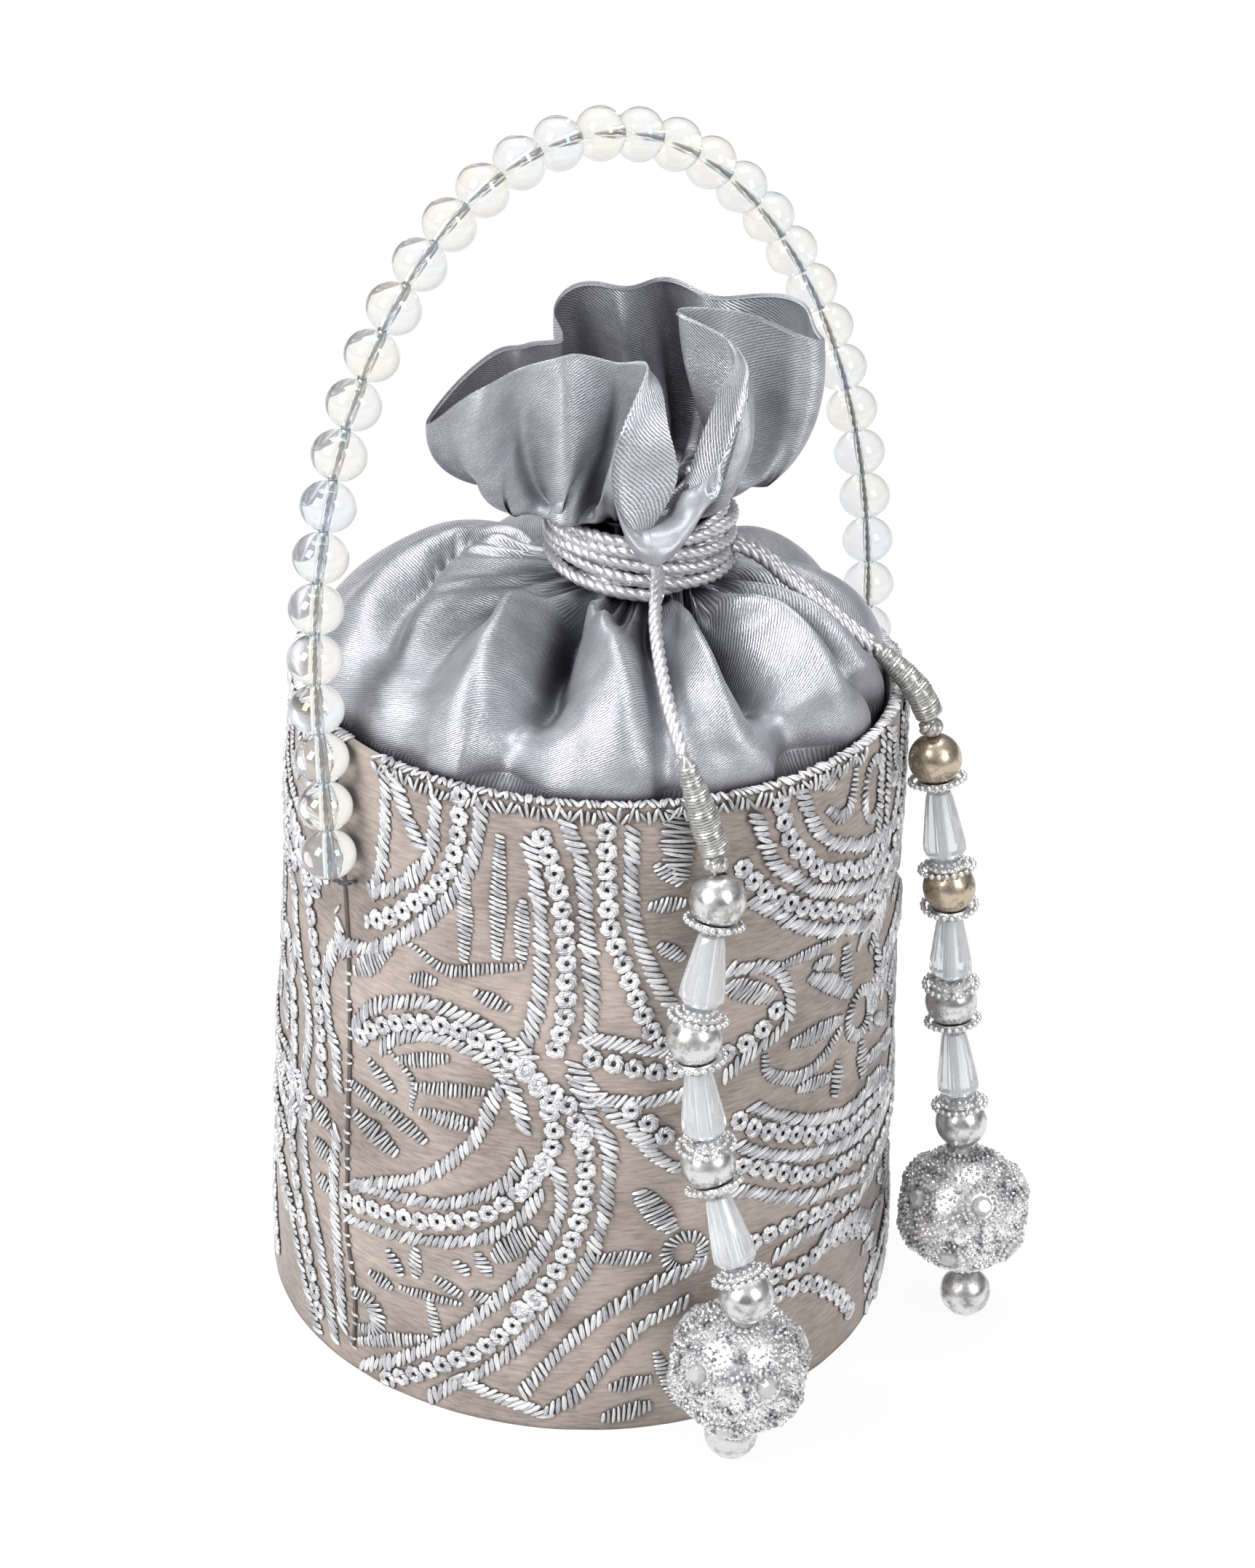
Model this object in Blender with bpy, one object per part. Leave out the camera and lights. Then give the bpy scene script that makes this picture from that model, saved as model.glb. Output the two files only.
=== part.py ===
"""A drawstring potli bag: a stiff embroidered drum with a gathered satin top,
a beaded handle and two beaded tassels.

Metres, +Z up. The origin is the centre of the base on the table, +X is the
right side of the bag and -Y is its front.
"""

import math

import bmesh
import bpy
from mathutils import Matrix, Vector

MM = 0.001
UP = Vector((0, 0, 1))
FIT_GAP = 0.3 * MM  # kept between pieces that touch or rest on each other

# Stiff drum of embroidered cloth over card
BASE_RADIUS = 62.3 * MM
RIM_RADIUS = 57.0 * MM
WALL_HEIGHT = 131.3 * MM
WALL_THICKNESS = 2.4 * MM
HEM_ROUND = 0.8 * MM
BASE_THICKNESS = 3.0 * MM
WALL_STEPS = 72

# Raised bands of embroidery on the wall. Each has a width and then points of its
# middle line, as the angle round the bag in degrees and the height, both widths
# and heights in mm. The cloth repeats them round the bag.
EMBROIDERY_RAISE = 0.6 * MM
EMBROIDERY_BANDS = [
    (7.0, (-134, 83), (-121, 86), (-108, 84), (-98, 76), (-91, 64), (-88, 51), (-91, 37),
     (-99, 25), (-110, 15), (-121, 8)),
    (6.0, (-134, 37), (-121, 40), (-110, 45), (-102, 53), (-99, 63), (-101, 72)),
    (8.0, (-97, 127), (-96.5, 110), (-95.5, 96), (-95, 88)),
    (6.0, (-86.5, 127), (-86, 113), (-83.5, 102), (-79, 92), (-77, 85)),
    (9.0, (-56, 127), (-52, 117), (-44, 109), (-34, 104)),
    (5.0, (-87, 79), (-79, 79), (-71, 81)),
    (9.0, (-79, 70), (-70, 64), (-60, 60), (-48, 57), (-34, 55)),
    (5.0, (-64, 48), (-54, 42), (-44, 39), (-34, 39)),
    (8.0, (-131, 98), (-122, 102), (-114, 110), (-110, 120), (-109, 127)),
    (5.0, (-97, 9), (-90, 18), (-81, 27), (-70, 33)),
]
EMBROIDERY_REPEATS = (0, 108, 226)

# Satin top: tucked into the rim, domed, gathered at the neck and flared
SATIN_THICKNESS = 0.8 * MM
SATIN_TUCK = 13.0 * MM
DOME_RISE = 19.6 * MM
DOME_FULLNESS = 2.6
NECK_OFFSET = 6.7 * MM  # the neck leans to the right of the bag's axis
NECK_RADIUS = 13.8 * MM
PLEAT_DEPTH = 2.2 * MM
PLEAT_COLUMNS = 4  # columns of the mesh in one small pleat of the neck
PLEAT_REACH = 0.35  # how far down the dome the small pleats run, as a share
GATHER_FILL = 2.0 * MM  # how far the packed folds rise inside the ruffle
HEM_HOLLOW = 0.3  # how far a fold's foot falls in from the rim, as a share of its depth
# Folds that run up the dome: angle at the neck, angle at the rim, depth in mm
# and width in degrees
DOME_FOLDS = [
    (-170, -160, 2.4, 8),
    (-146, -126, 2.8, 7),
    (-116, -108, 7.2, 10),
    (-84, -78, 2.4, 6),
    (-61, -54, 6.8, 9),
    (-30, -34, 5.0, 7),
    (3, -12, 7.6, 14),
    (34, 26, 4.2, 8),
    (64, 60, 5.2, 8),
    (96, 92, 4.2, 8),
    (126, 122, 5.2, 8),
    (152, 166, 3.8, 8),
]
# The ruffle's top edge, read once round from the front. Each station has the
# angle where its cloth leaves the neck, the edge point from the neck's centre
# at rim height, and how far the cloth starts outward and upward from the neck
# and arrives upward at the edge. All but the angle are in mm.
RUFFLE_EDGE = [
    (-90, 2.4, -23.8, 37.6, 2.3, 21.5, -10.4),
    (-78, 8, -25.3, 39.4, 1.4, 22.9, -9.5),
    (-67, 10.7, -22.6, 41.6, 4, 19.2, -3),
    (-57, 14, -22, 48, 6, 6.3, 1.9),
    (-46, 17.3, -14.0, 59.7, 7, 8, 13),
    (-36, 14.6, -4.5, 65.4, 7, 8, 16),
    (-26, 5.2, 1.0, 69.0, 6, 9, 18),
    (-16, 14.8, 4.6, 67.9, 9, 6, 18),
    (-6, 26.2, 4.0, 64.6, 12, 3, 16),
    (6, 31.6, 9.0, 62.0, 13, 2, 17),
    (18, 29.5, 15.0, 65.3, 12, 2, 18),
    (32, 24.5, 18.5, 66.6, 11, 3, 18),
    (48, 13.6, 20.0, 66.0, 9, 4, 17),
    (64, 5.0, 20.5, 67.3, 9, 4, 17),
    (80, -3.0, 18.5, 67.7, 9, 4, 17),
    (96, -11.0, 15.5, 68.6, 10, 4, 18),
    (110, -17.0, 12.0, 64.7, 11, 3, 17),
    (122, -15.6, 7.4, 60.8, 9, 4, 16),
    (134, -22.0, 6.0, 60.3, 10, 2, 15),
    (146, -27.0, 3.6, 59.6, 12, 1, 14),
    (159, -34.0, -1.0, 54.6, 12, 0, 12),
    (172, -39.1, -7.0, 48.7, 12, 0, 10),
    (187, -30.0, -12.4, 57.4, 12, 0, 14),
    (200, -21.5, -13.6, 62.4, 10, 2, 16),
    (212, -13.5, -12.4, 65.3, 8, 4, 16),
    (223, -5.6, -13.1, 63.5, 3.8, 3.6, 14),
    (234, -0.1, -13.5, 64, 6.8, 12, 5.7),
    (243, -4.1, -20.8, 54.4, 5.4, 12.9, -1.2),
    (252, -4.7, -22.3, 45.5, 1.3, 20, -2.3),
    (261, -0.3, -24.6, 38, 1.3, 24.9, -14.5),
]
RUFFLE_ROWS = 6
NECK_ROWS = 3
STATION_COLUMNS = 2  # columns of the satin's mesh for each station of its edge

# Neck band: turns of twisted cord round the gathers
CORD_DIAMETER = 2.4 * MM
BAND_TURNS = 5
BAND_THICKNESS = 3.6 * MM
BAND_GAP = 0.5 * MM
BAND_CLEAR_OF_DOME = 0.7 * MM
NECK_ABOVE_BAND = 0.6 * MM

# Beaded handle: an arch that stands in a plane turned and leaned from the bag
HANDLE_TURN = math.radians(40)
HANDLE_LEAN = math.radians(10)
HANDLE_OFFSET = 4.0 * MM  # how far in front of the axis its chord passes
HANDLE_PIVOT_DROP = 26.3 * MM
LEG_HEIGHT = 32.0 * MM
BEAD_WALL_GAP = 0.3 * MM  # kept between the lowest beads and the wall
RIGHT_SPREAD = 6.0 * MM  # how far the right leg leans out from the wall
ARCH_RISE = 91.4 * MM
ARCH_SKEW = 0.034
GLASS_BEAD_DIAMETER = 10.0 * MM
GLASS_BEAD_PITCH = 9.15 * MM
STRAND_RADIUS = 0.9 * MM
STRAND_KNOT_RADIUS = 2.0 * MM

# Beads, caps, cones and balls of the tassels
SILVER_BEAD_DIAMETER = 10.0 * MM
CAP_GAP = 0.5 * MM
CAP_WALL = 0.8 * MM
CAP_SPREAD = math.radians(52)
CAP_HOLE_RADIUS = 0.9 * MM
CONE_LENGTH = 12.6 * MM
CONE_TOP_RADIUS = 2.6 * MM
CONE_FLARE_RADIUS = 4.1 * MM
BALL_DIAMETER = 25.2 * MM
MEDALLION_RAISE = 0.7 * MM
WRAP_RADIUS = 2.7 * MM
WRAP_TIP_RADIUS = 1.7 * MM
KNOT_RADIUS = 2.9 * MM

# Cord routes, in mm from the bag's axis and up from the rim
FRONT_CORD_ROUTE = [
    (10.1, -18.3, 26.8),
    (10.0, -23.5, 25.2),
    (10.0, -30.0, 22.6),
    (11.0, -38.5, 19.2),
    (12.9, -48.0, 15.0),
]
RIGHT_CORD_ROUTE = [
    (25.3, -1.6, 25.8),
    (29.4, -2.4, 23.9),
    (34.0, -3.6, 20.6),
    (41.0, -5.8, 15.8),
    (46.5, -7.4, 11.9),
]
RIGHT_STRAND_SPACING = 2.8 * MM
# Tassels: the wrapped end's points and then the bead centres, in mm as above
FRONT_WRAP_ROUTE = [(16.1, -58.2, 9.6), (19.0, -58.6, 1.2), (21.8, -59.0, -6.6)]
FRONT_BEAD_POINTS = [
    (22.7, -60.3, -15.6),
    (19.8, -65.5, -40.5),
    (23.4, -66.6, -65.8),
    (31.4, -74.2, -89.2),
    (30.5, -67.3, -125.9),
]
RIGHT_WRAP_ROUTE = [(51.2, -8.5, 8.8), (55.2, -9.8, 5.8), (59.0, -10.8, 1.8), (61.4, -11.0, -2.8)]
RIGHT_BEAD_POINTS = [
    (63.2, -10.6, -12.2),
    (67.8, -14.2, -38.2),
    (70.4, -13.4, -64.4),
    (74.2, -17.2, -89.9),
    (77.6, -22.2, -126.0),
]

SATIN_GREY = (0.36, 0.37, 0.45)
TAUPE = (0.42, 0.36, 0.32)
SILVER = (0.72, 0.72, 0.72)


def clear_scene():
    for thing in list(bpy.data.objects):
        bpy.data.objects.remove(thing, do_unlink=True)


def material(name, colour, roughness, metallic=0.0, transmission=0.0):
    found = bpy.data.materials.get(name) or bpy.data.materials.new(name)
    found.use_nodes = True
    shader = found.node_tree.nodes["Principled BSDF"]
    shader.inputs["Base Color"].default_value = (*colour, 1)
    shader.inputs["Roughness"].default_value = roughness
    shader.inputs["Metallic"].default_value = metallic
    shader.inputs["Transmission Weight"].default_value = transmission
    return found


def add_mesh(name, bm, surface, smooth_angle=40):
    """Turn a bmesh into a named object with outward faces."""
    bmesh.ops.recalc_face_normals(bm, faces=bm.faces)
    mesh = bpy.data.meshes.new(name)
    bm.to_mesh(mesh)
    bm.free()
    mesh.shade_smooth()
    mesh.set_sharp_from_angle(angle=math.radians(smooth_angle))
    mesh.materials.append(surface)
    piece = bpy.data.objects.new(name, mesh)
    bpy.context.collection.objects.link(piece)
    return piece


def add_pivot(name, place):
    """An empty on a joint's axis, which the moving pieces hang from."""
    pivot = bpy.data.objects.new(name, None)
    pivot.empty_display_size = 10 * MM
    pivot.location = place
    bpy.context.collection.objects.link(pivot)
    return pivot


def hang(piece, pivot, place):
    """Parent a piece to a pivot, with its own world placement kept."""
    piece.parent = pivot
    piece.matrix_basis = Matrix.Translation(-pivot.location) @ place


def turned(profile, steps):
    """A closed section of (radius, height) points turned about Z into a ring."""
    bm = bmesh.new()
    points = [bm.verts.new((radius, 0, height)) for radius, height in profile]
    edges = [bm.edges.new((a, b)) for a, b in zip(points, points[1:] + points[:1])]
    bmesh.ops.spin(
        bm,
        geom=points + edges,
        cent=(0, 0, 0),
        axis=(0, 0, 1),
        angle=math.tau,
        steps=steps,
        use_merge=True,
    )
    bmesh.ops.remove_doubles(bm, verts=bm.verts, dist=0.001 * MM)
    return bm


def smooth_curve(points, samples):
    """Points along a Catmull-Rom curve through the route's own points."""
    route = [Vector(p) for p in points]
    ends = [2 * route[0] - route[1], *route, 2 * route[-1] - route[-2]]
    found = []
    for i in range(len(route) - 1):
        a, b, c, d = ends[i : i + 4]
        for k in range(samples):
            t = k / samples
            found.append(
                0.5 * (2 * b + (c - a) * t + (2 * a - 5 * b + 4 * c - d) * t**2
                       + (3 * b - a - 3 * c + d) * t**3)
            )
    return found + [route[-1]]


def sweep(stations, sides):
    """A closed round skin over stations of (centre, radius), capped at both ends."""
    bm = bmesh.new()
    side = None
    rings = []
    for i, (centre, radius) in enumerate(stations):
        before = stations[max(i - 1, 0)][0]
        after = stations[min(i + 1, len(stations) - 1)][0]
        along = (after - before).normalized()
        side = along.orthogonal() if side is None else side
        side = (side - along * side.dot(along)).normalized()
        turn = Matrix((side, along.cross(side), along)).transposed().to_4x4()
        ring = bmesh.ops.create_circle(
            bm, segments=sides, radius=radius, matrix=Matrix.Translation(centre) @ turn
        )["verts"]
        rings.append(ring)
    for low, high in zip(rings, rings[1:]):
        for k in range(sides):
            n = (k + 1) % sides
            bm.faces.new((low[k], low[n], high[n], high[k]))
    bm.faces.new(rings[0])
    bm.faces.new(rings[-1])
    return bm


def wall_radius(height):
    """Outer radius of the tapering wall at a height above the table."""
    return BASE_RADIUS + (RIM_RADIUS - BASE_RADIUS) * height / WALL_HEIGHT


def from_rim(point):
    """A route's point, in mm from the axis and up from the rim, in metres."""
    x, y, z = (value * MM for value in point)
    return Vector((x, y, WALL_HEIGHT + z))


# The drum


def embroidery_bars(surface):
    """The raised bands as curved bars sunk into the wall, which takes them in."""
    bm = bmesh.new()
    section = ((-0.5, -1), (-0.34, 1), (0.34, 1), (0.5, -1))
    for width, *points in EMBROIDERY_BANDS:
        for repeat in EMBROIDERY_REPEATS:
            flat = [((math.radians(a + repeat)) * BASE_RADIUS, z * MM, 0) for a, z in points]
            line = smooth_curve(flat, 2)
            rows = []
            for i, place in enumerate(line):
                along = line[min(i + 1, len(line) - 1)] - line[max(i - 1, 0)]
                across = Vector((-along.y, along.x, 0)).normalized() * width * MM
                row = []
                for share, side in section:
                    point = place + across * share
                    radius = wall_radius(point.y) + side * EMBROIDERY_RAISE
                    angle = point.x / BASE_RADIUS
                    where = (radius * math.cos(angle), radius * math.sin(angle), point.y)
                    row.append(bm.verts.new(where))
                rows.append(row)
            for a, b in zip(rows, rows[1:]):
                for k in range(4):
                    n = (k + 1) % 4
                    bm.faces.new((a[k], a[n], b[n], b[k]))
            bm.faces.new(rows[0])
            bm.faces.new(rows[-1])
    return add_mesh("embroidery_bars", bm, surface)


def hide_cutter(cutter):
    cutter.hide_render = True
    cutter.display_type = "WIRE"


def build_wall(surface):
    """The tapering wall, its hem, its raised embroidery and two thread holes."""
    inner_base = BASE_RADIUS - WALL_THICKNESS
    inner_rim = RIM_RADIUS - WALL_THICKNESS
    shoulder = WALL_HEIGHT - HEM_ROUND
    profile = [
        (inner_base, 0),
        (BASE_RADIUS, 0),
        (RIM_RADIUS, shoulder),
        (RIM_RADIUS - HEM_ROUND, WALL_HEIGHT),
        (inner_rim + HEM_ROUND, WALL_HEIGHT),
        (inner_rim, shoulder),
    ]
    wall = add_mesh("body_wall", turned(profile, WALL_STEPS), surface)
    for side in (-1, 1):
        hole = bmesh.new()
        bmesh.ops.create_cone(
            hole,
            cap_ends=True,
            segments=8,
            radius1=STRAND_RADIUS + 2 * FIT_GAP,
            radius2=STRAND_RADIUS + 2 * FIT_GAP,
            depth=8 * WALL_THICKNESS,
            matrix=Matrix.Translation(handle_point(side * chord_reach(0), 0))
            @ chord_direction().to_track_quat("Z", "Y").to_matrix().to_4x4(),
        )
        cutter = add_mesh(f"thread_hole_{side}", hole, surface)
        hide_cutter(cutter)
        cut = wall.modifiers.new("thread hole", "BOOLEAN")
        cut.operation = "DIFFERENCE"
        cut.object = cutter
    bars = embroidery_bars(surface)
    hide_cutter(bars)
    join = wall.modifiers.new("raised embroidery", "BOOLEAN")
    join.operation = "UNION"
    join.object = bars
    join.use_self = True
    return wall


def build_base(surface):
    """The card-stiffened disc that closes the bottom and stands on the table."""
    radius = wall_radius(BASE_THICKNESS) - WALL_THICKNESS - FIT_GAP
    bm = bmesh.new()
    bmesh.ops.create_cone(
        bm,
        cap_ends=True,
        segments=WALL_STEPS,
        radius1=radius,
        radius2=radius,
        depth=BASE_THICKNESS,
        matrix=Matrix.Translation((0, 0, BASE_THICKNESS / 2)),
    )
    return add_mesh("base_disc", bm, surface)


# The satin top


def fold_depth(degrees, share):
    """How deep the folds are at an angle; the share runs from 0 at the neck to 1 at the rim."""
    deepest = 0.0
    for at_neck, at_rim, depth, width in DOME_FOLDS:
        away = (degrees - at_neck - (at_rim - at_neck) * share + 180) % 360 - 180
        deepest = max(deepest, depth * math.exp(-((away / width) ** 2)))
    return deepest * MM


def loop_value(values, position):
    """A smooth closed curve through a ring of values, read at a position."""
    n = len(values)
    i = int(math.floor(position))
    t = position - i
    a, b, c, d = (values[(i + k) % n] for k in (-1, 0, 1, 2))
    return 0.5 * (2 * b + (c - a) * t + (2 * a - 5 * b + 4 * c - d) * t**2
                  + (3 * b - a - 3 * c + d) * t**3)


def neck_angle(position):
    """The angle in degrees at which a column of the satin leaves the neck."""
    n = len(RUFFLE_EDGE)
    i = int(math.floor(position))
    t = position - i
    start = RUFFLE_EDGE[i % n][0]
    end = RUFFLE_EDGE[(i + 1) % n][0] + (360 if i % n == n - 1 else 0)
    return start + (end - start) * t


def bezier(a, b, c, d, t):
    s = 1 - t
    return a * s**3 + b * 3 * s * s * t + c * 3 * s * t * t + d * t**3


def band_bottom():
    return WALL_HEIGHT + DOME_RISE + BAND_CLEAR_OF_DOME


def band_height():
    return BAND_TURNS * CORD_DIAMETER


def satin_column(number):
    """One line of the satin from its tucked hem up over the dome to the ruffle's edge."""
    position = number / STATION_COLUMNS
    gather = PLEAT_DEPTH * (0.5 - 0.5 * math.cos(math.tau * number / PLEAT_COLUMNS))
    degrees = neck_angle(position)
    turn = math.radians(degrees)
    outward = Vector((math.cos(turn), math.sin(turn), 0))
    neck = Vector((NECK_OFFSET, 0, 0))
    inner = RIM_RADIUS - WALL_THICKNESS - FIT_GAP
    hollow = HEM_HOLLOW * fold_depth(degrees, 1)
    points = [
        outward * inner + UP * (WALL_HEIGHT - SATIN_TUCK),
        outward * (inner - hollow) + UP * WALL_HEIGHT,
    ]
    for climb in (13, 26, 40, 54, 68, 80):
        share = math.cos(math.radians(climb)) ** (2 / DOME_FULLNESS)
        sink = fold_depth(degrees, share) * (1 - share**5) * min(1, 0.35 + 2.2 * share)
        centre = neck * (1 - share)
        reach = NECK_RADIUS + (inner - NECK_RADIUS) * share - 0.35 * sink - hollow * share**5
        reach -= gather * max(0, 1 - share / PLEAT_REACH)
        rise = DOME_RISE * math.sin(math.radians(climb)) - sink
        points.append(centre + outward * reach + UP * (WALL_HEIGHT + rise))
    low = band_bottom() - BAND_CLEAR_OF_DOME
    top = band_bottom() + band_height() + NECK_ABOVE_BAND
    for height in (low, (low + top) / 2, top):
        points.append(neck + outward * (NECK_RADIUS - gather) + UP * height)
    start = points[-1]
    x, y, z, out, lift, arrive = (
        loop_value([s[k] for s in RUFFLE_EDGE], position) * MM for k in range(1, 7)
    )
    edge = neck + Vector((x, y, WALL_HEIGHT + z))
    first = start + outward * out + UP * lift
    last = edge - UP * arrive + outward * (1 * MM)
    for k in range(1, RUFFLE_ROWS + 1):
        points.append(bezier(start, first, last, edge, k / RUFFLE_ROWS))
    return points


def skin(bm, columns):
    """Faces between neighbouring columns of points, round to the first one again."""
    for a, b in zip(columns, columns[1:] + columns[:1]):
        for low_a, low_b, high_b, high_a in zip(a, b, b[1:], a[1:]):
            bm.faces.new((low_a, low_b, high_b, high_a))


def fan(bm, ring, height):
    """Close a ring of points with a fan to a point on the neck's axis."""
    middle = bm.verts.new((NECK_OFFSET, 0, height))
    for a, b in zip(ring, ring[1:] + ring[:1]):
        bm.faces.new((a, b, middle))


def build_satin(surface):
    """The gathered satin, from the tucked hem to the ruffle's edge.

    The neck is solid, because the drawn cord packs it with folded cloth.
    """
    bm = bmesh.new()
    count = len(RUFFLE_EDGE) * STATION_COLUMNS
    outside = [[bm.verts.new(p) for p in satin_column(k)] for k in range(count)]
    skin(bm, outside)
    bm.normal_update()
    thickness = SATIN_THICKNESS
    if outside[0][0].normal.dot(outside[0][0].co - UP * outside[0][0].co.z) < 0:
        thickness = -thickness
    above_neck = len(outside[0]) - RUFFLE_ROWS
    below_neck = above_neck - NECK_ROWS
    dome, ruffle = [], []
    for column in outside:
        inside = [bm.verts.new(v.co - v.normal * thickness) for v in column]
        dome.append(inside[:below_neck])
        ruffle.append(inside[above_neck:])
        for spare in inside[below_neck:above_neck]:
            bm.verts.remove(spare)
    skin(bm, dome)
    skin(bm, ruffle)
    fan(bm, [column[-1] for column in dome], band_bottom() - 2 * SATIN_THICKNESS)
    fan(bm, [column[0] for column in ruffle], band_bottom() + band_height() + GATHER_FILL)
    skin(bm, [[column[0], inner[0]] for column, inner in zip(outside, dome)])
    skin(bm, [[column[-1], inner[-1]] for column, inner in zip(outside, ruffle)])
    return add_mesh("satin_top", bm, surface, smooth_angle=75)


# Cords


def build_neck_band(surface):
    """Turns of cord wound round the gathers, as one ring with a rounded turn each."""
    inner = NECK_RADIUS + BAND_GAP
    outer = inner + BAND_THICKNESS
    bulge = CORD_DIAMETER / 4
    profile = [(inner, band_height()), (inner, 0)]
    for k in range(BAND_TURNS):
        start = k * CORD_DIAMETER
        profile += [(outer - bulge, start + 0.05 * CORD_DIAMETER)]
        profile += [(outer, start + 0.3 * CORD_DIAMETER), (outer, start + 0.7 * CORD_DIAMETER)]
    profile.append((outer - bulge, band_height()))
    piece = add_mesh("neck_band", turned(profile, 24), surface)
    piece.location = (NECK_OFFSET, 0, band_bottom())
    return piece


def build_cord(name, route, wrap_start, surface, shift=0.0):
    """A plain cord along its route to the wrapped end: a round tube with filled ends."""
    aside = Vector((0, shift, 0))
    run = [from_rim(p) for p in route]
    tip = from_rim(wrap_start)
    run.append(tip + (run[-1] - tip).normalized() * (WRAP_TIP_RADIUS + 2 * FIT_GAP))
    points = smooth_curve([p + aside for p in run], 2)
    curve = bpy.data.curves.new(name, "CURVE")
    curve.dimensions = "3D"
    curve.bevel_depth = CORD_DIAMETER / 2
    curve.bevel_resolution = 2
    curve.use_fill_caps = True
    curve.materials.append(surface)
    spline = curve.splines.new("POLY")
    spline.points.add(len(points) - 1)
    for slot, point in zip(spline.points, points):
        slot.co = (*point, 1)
    piece = bpy.data.objects.new(name, curve)
    bpy.context.collection.objects.link(piece)
    return piece


# The handle


def chord_direction():
    return Vector((math.cos(HANDLE_TURN), math.sin(HANDLE_TURN), 0))


def handle_point(along, climb):
    """A point of the handle's plane, from its reach along the chord and its climb."""
    chord = chord_direction()
    back = Vector((-chord.y, chord.x, 0))
    origin = UP * (WALL_HEIGHT - HANDLE_PIVOT_DROP) - back * HANDLE_OFFSET
    rise = back * math.sin(HANDLE_LEAN) + UP * math.cos(HANDLE_LEAN)
    return origin + chord * along + rise * climb


def chord_reach(stand_off, climb=0.0):
    """How far along the chord the wall's outside lies, plus a distance from it."""
    height = WALL_HEIGHT - HANDLE_PIVOT_DROP + climb
    radius = wall_radius(min(height, WALL_HEIGHT)) + stand_off
    return math.sqrt(radius**2 - HANDLE_OFFSET**2)


def handle_outline():
    """The arch's centre line: up the left leg, over the half ellipse, down the right."""
    stand_off = GLASS_BEAD_DIAMETER / 2 + BEAD_WALL_GAP
    foot = chord_reach(stand_off)
    steps = 12
    left, right = [], []
    for k in range(steps):
        climb = LEG_HEIGHT * k / steps
        tuck = (1 - k / steps) ** 2
        left.append((-chord_reach(stand_off, climb), climb))
        right.append((foot + RIGHT_SPREAD * (1 - tuck), climb))
    left_end = chord_reach(stand_off, LEG_HEIGHT)
    right_end = foot + RIGHT_SPREAD
    half = (left_end + right_end) / 2
    middle = (right_end - left_end) / 2
    arch = []
    for k in range(61):
        turn = math.pi * (1 - k / 60)
        climb = ARCH_RISE * math.sin(turn)
        arch.append((middle + ARCH_SKEW * climb + half * math.cos(turn), LEG_HEIGHT + climb))
    return left + arch + right[::-1]


def at_length(points, lengths, wanted):
    """The point at a length along a line of points."""
    for i in range(len(points) - 1):
        if lengths[i + 1] >= wanted or i == len(points) - 2:
            share = (wanted - lengths[i]) / (lengths[i + 1] - lengths[i])
            return points[i].lerp(points[i + 1], share)
    return points[-1]


def running_lengths(points):
    lengths = [0.0]
    for a, b in zip(points, points[1:]):
        lengths.append(lengths[-1] + (b - a).length)
    return lengths


def handle_stations():
    """Centres and radii of the strung beads, with a thread stub into the wall at each end."""
    outline = [Vector((s, c, 0)) for s, c in handle_outline()]
    lengths = running_lengths(outline)
    bead = GLASS_BEAD_DIAMETER / 2
    foot = 3 * STRAND_RADIUS
    run = lengths[-1] - 2 * foot
    count = round(run / GLASS_BEAD_PITCH)
    pitch = run / count
    stations = []
    for k in range(count):
        for share, size in ((0.08, 0.4), (0.22, 0.84), (0.5, 1), (0.78, 0.84), (0.92, 0.4)):
            place = at_length(outline, lengths, foot + (k + share) * pitch)
            stations.append((place, size * bead))
    left_stub = thread_stub(-1, outline[0].x)
    right_stub = thread_stub(1, outline[-1].x)
    return left_stub + stations + right_stub[::-1]


def thread_stub(side, leg):
    """The thread's end: a knot inside the wall, the way out and the bend up to the beads."""
    inside = chord_reach(-WALL_THICKNESS - FIT_GAP)
    length = 2 * STRAND_KNOT_RADIUS
    thread, knot = STRAND_RADIUS, STRAND_KNOT_RADIUS
    run = [
        (inside - length, 0.5 * knot),
        (inside - 0.75 * length, knot),
        (inside - 0.25 * length, knot),
        (inside - 0.5 * FIT_GAP, thread),
    ]
    found = [(Vector((side * reach, 0, 0)), radius) for reach, radius in run]
    found.append((Vector((leg - side * 2 * thread, 0, 0)), thread))
    found.append((Vector((leg - side * 0.5 * thread, 0.5 * thread, 0)), thread))
    found.append((Vector((leg, 2 * thread, 0)), thread))
    return found


def build_handle(surface):
    stations = [(handle_point(p.x, p.y), radius) for p, radius in handle_stations()]
    piece = add_mesh("bead_handle", sweep(stations, 8), surface)
    pivot = add_pivot("handle_pivot", handle_point(0, 0))
    hang(piece, pivot, Matrix.Identity(4))
    return piece


# Tassels


def hug():
    """From a silver bead's centre to what follows the cap that hugs it."""
    return SILVER_BEAD_DIAMETER / 2 + CAP_GAP + CAP_WALL + FIT_GAP


def aimed(centre, along):
    """A placement at a centre, with Z turned along a direction."""
    return Matrix.Translation(centre) @ along.to_track_quat("Z", "Y").to_matrix().to_4x4()


def bead_mesh():
    bm = bmesh.new()
    bmesh.ops.create_uvsphere(bm, u_segments=10, v_segments=6, radius=SILVER_BEAD_DIAMETER / 2)
    return bm


def cap_mesh():
    """A cup that hugs a bead on its +Z side; the bead's centre is the origin."""
    inner = SILVER_BEAD_DIAMETER / 2 + CAP_GAP
    outer = inner + CAP_WALL
    start = math.asin(CAP_HOLE_RADIUS / outer)
    profile = []
    for radius, turns in ((outer, (start, 0.55, CAP_SPREAD)), (inner, (CAP_SPREAD, 0.5, start))):
        for turn in turns:
            profile.append((radius * math.sin(turn), radius * math.cos(turn)))
    return turned(profile, 10)


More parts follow.
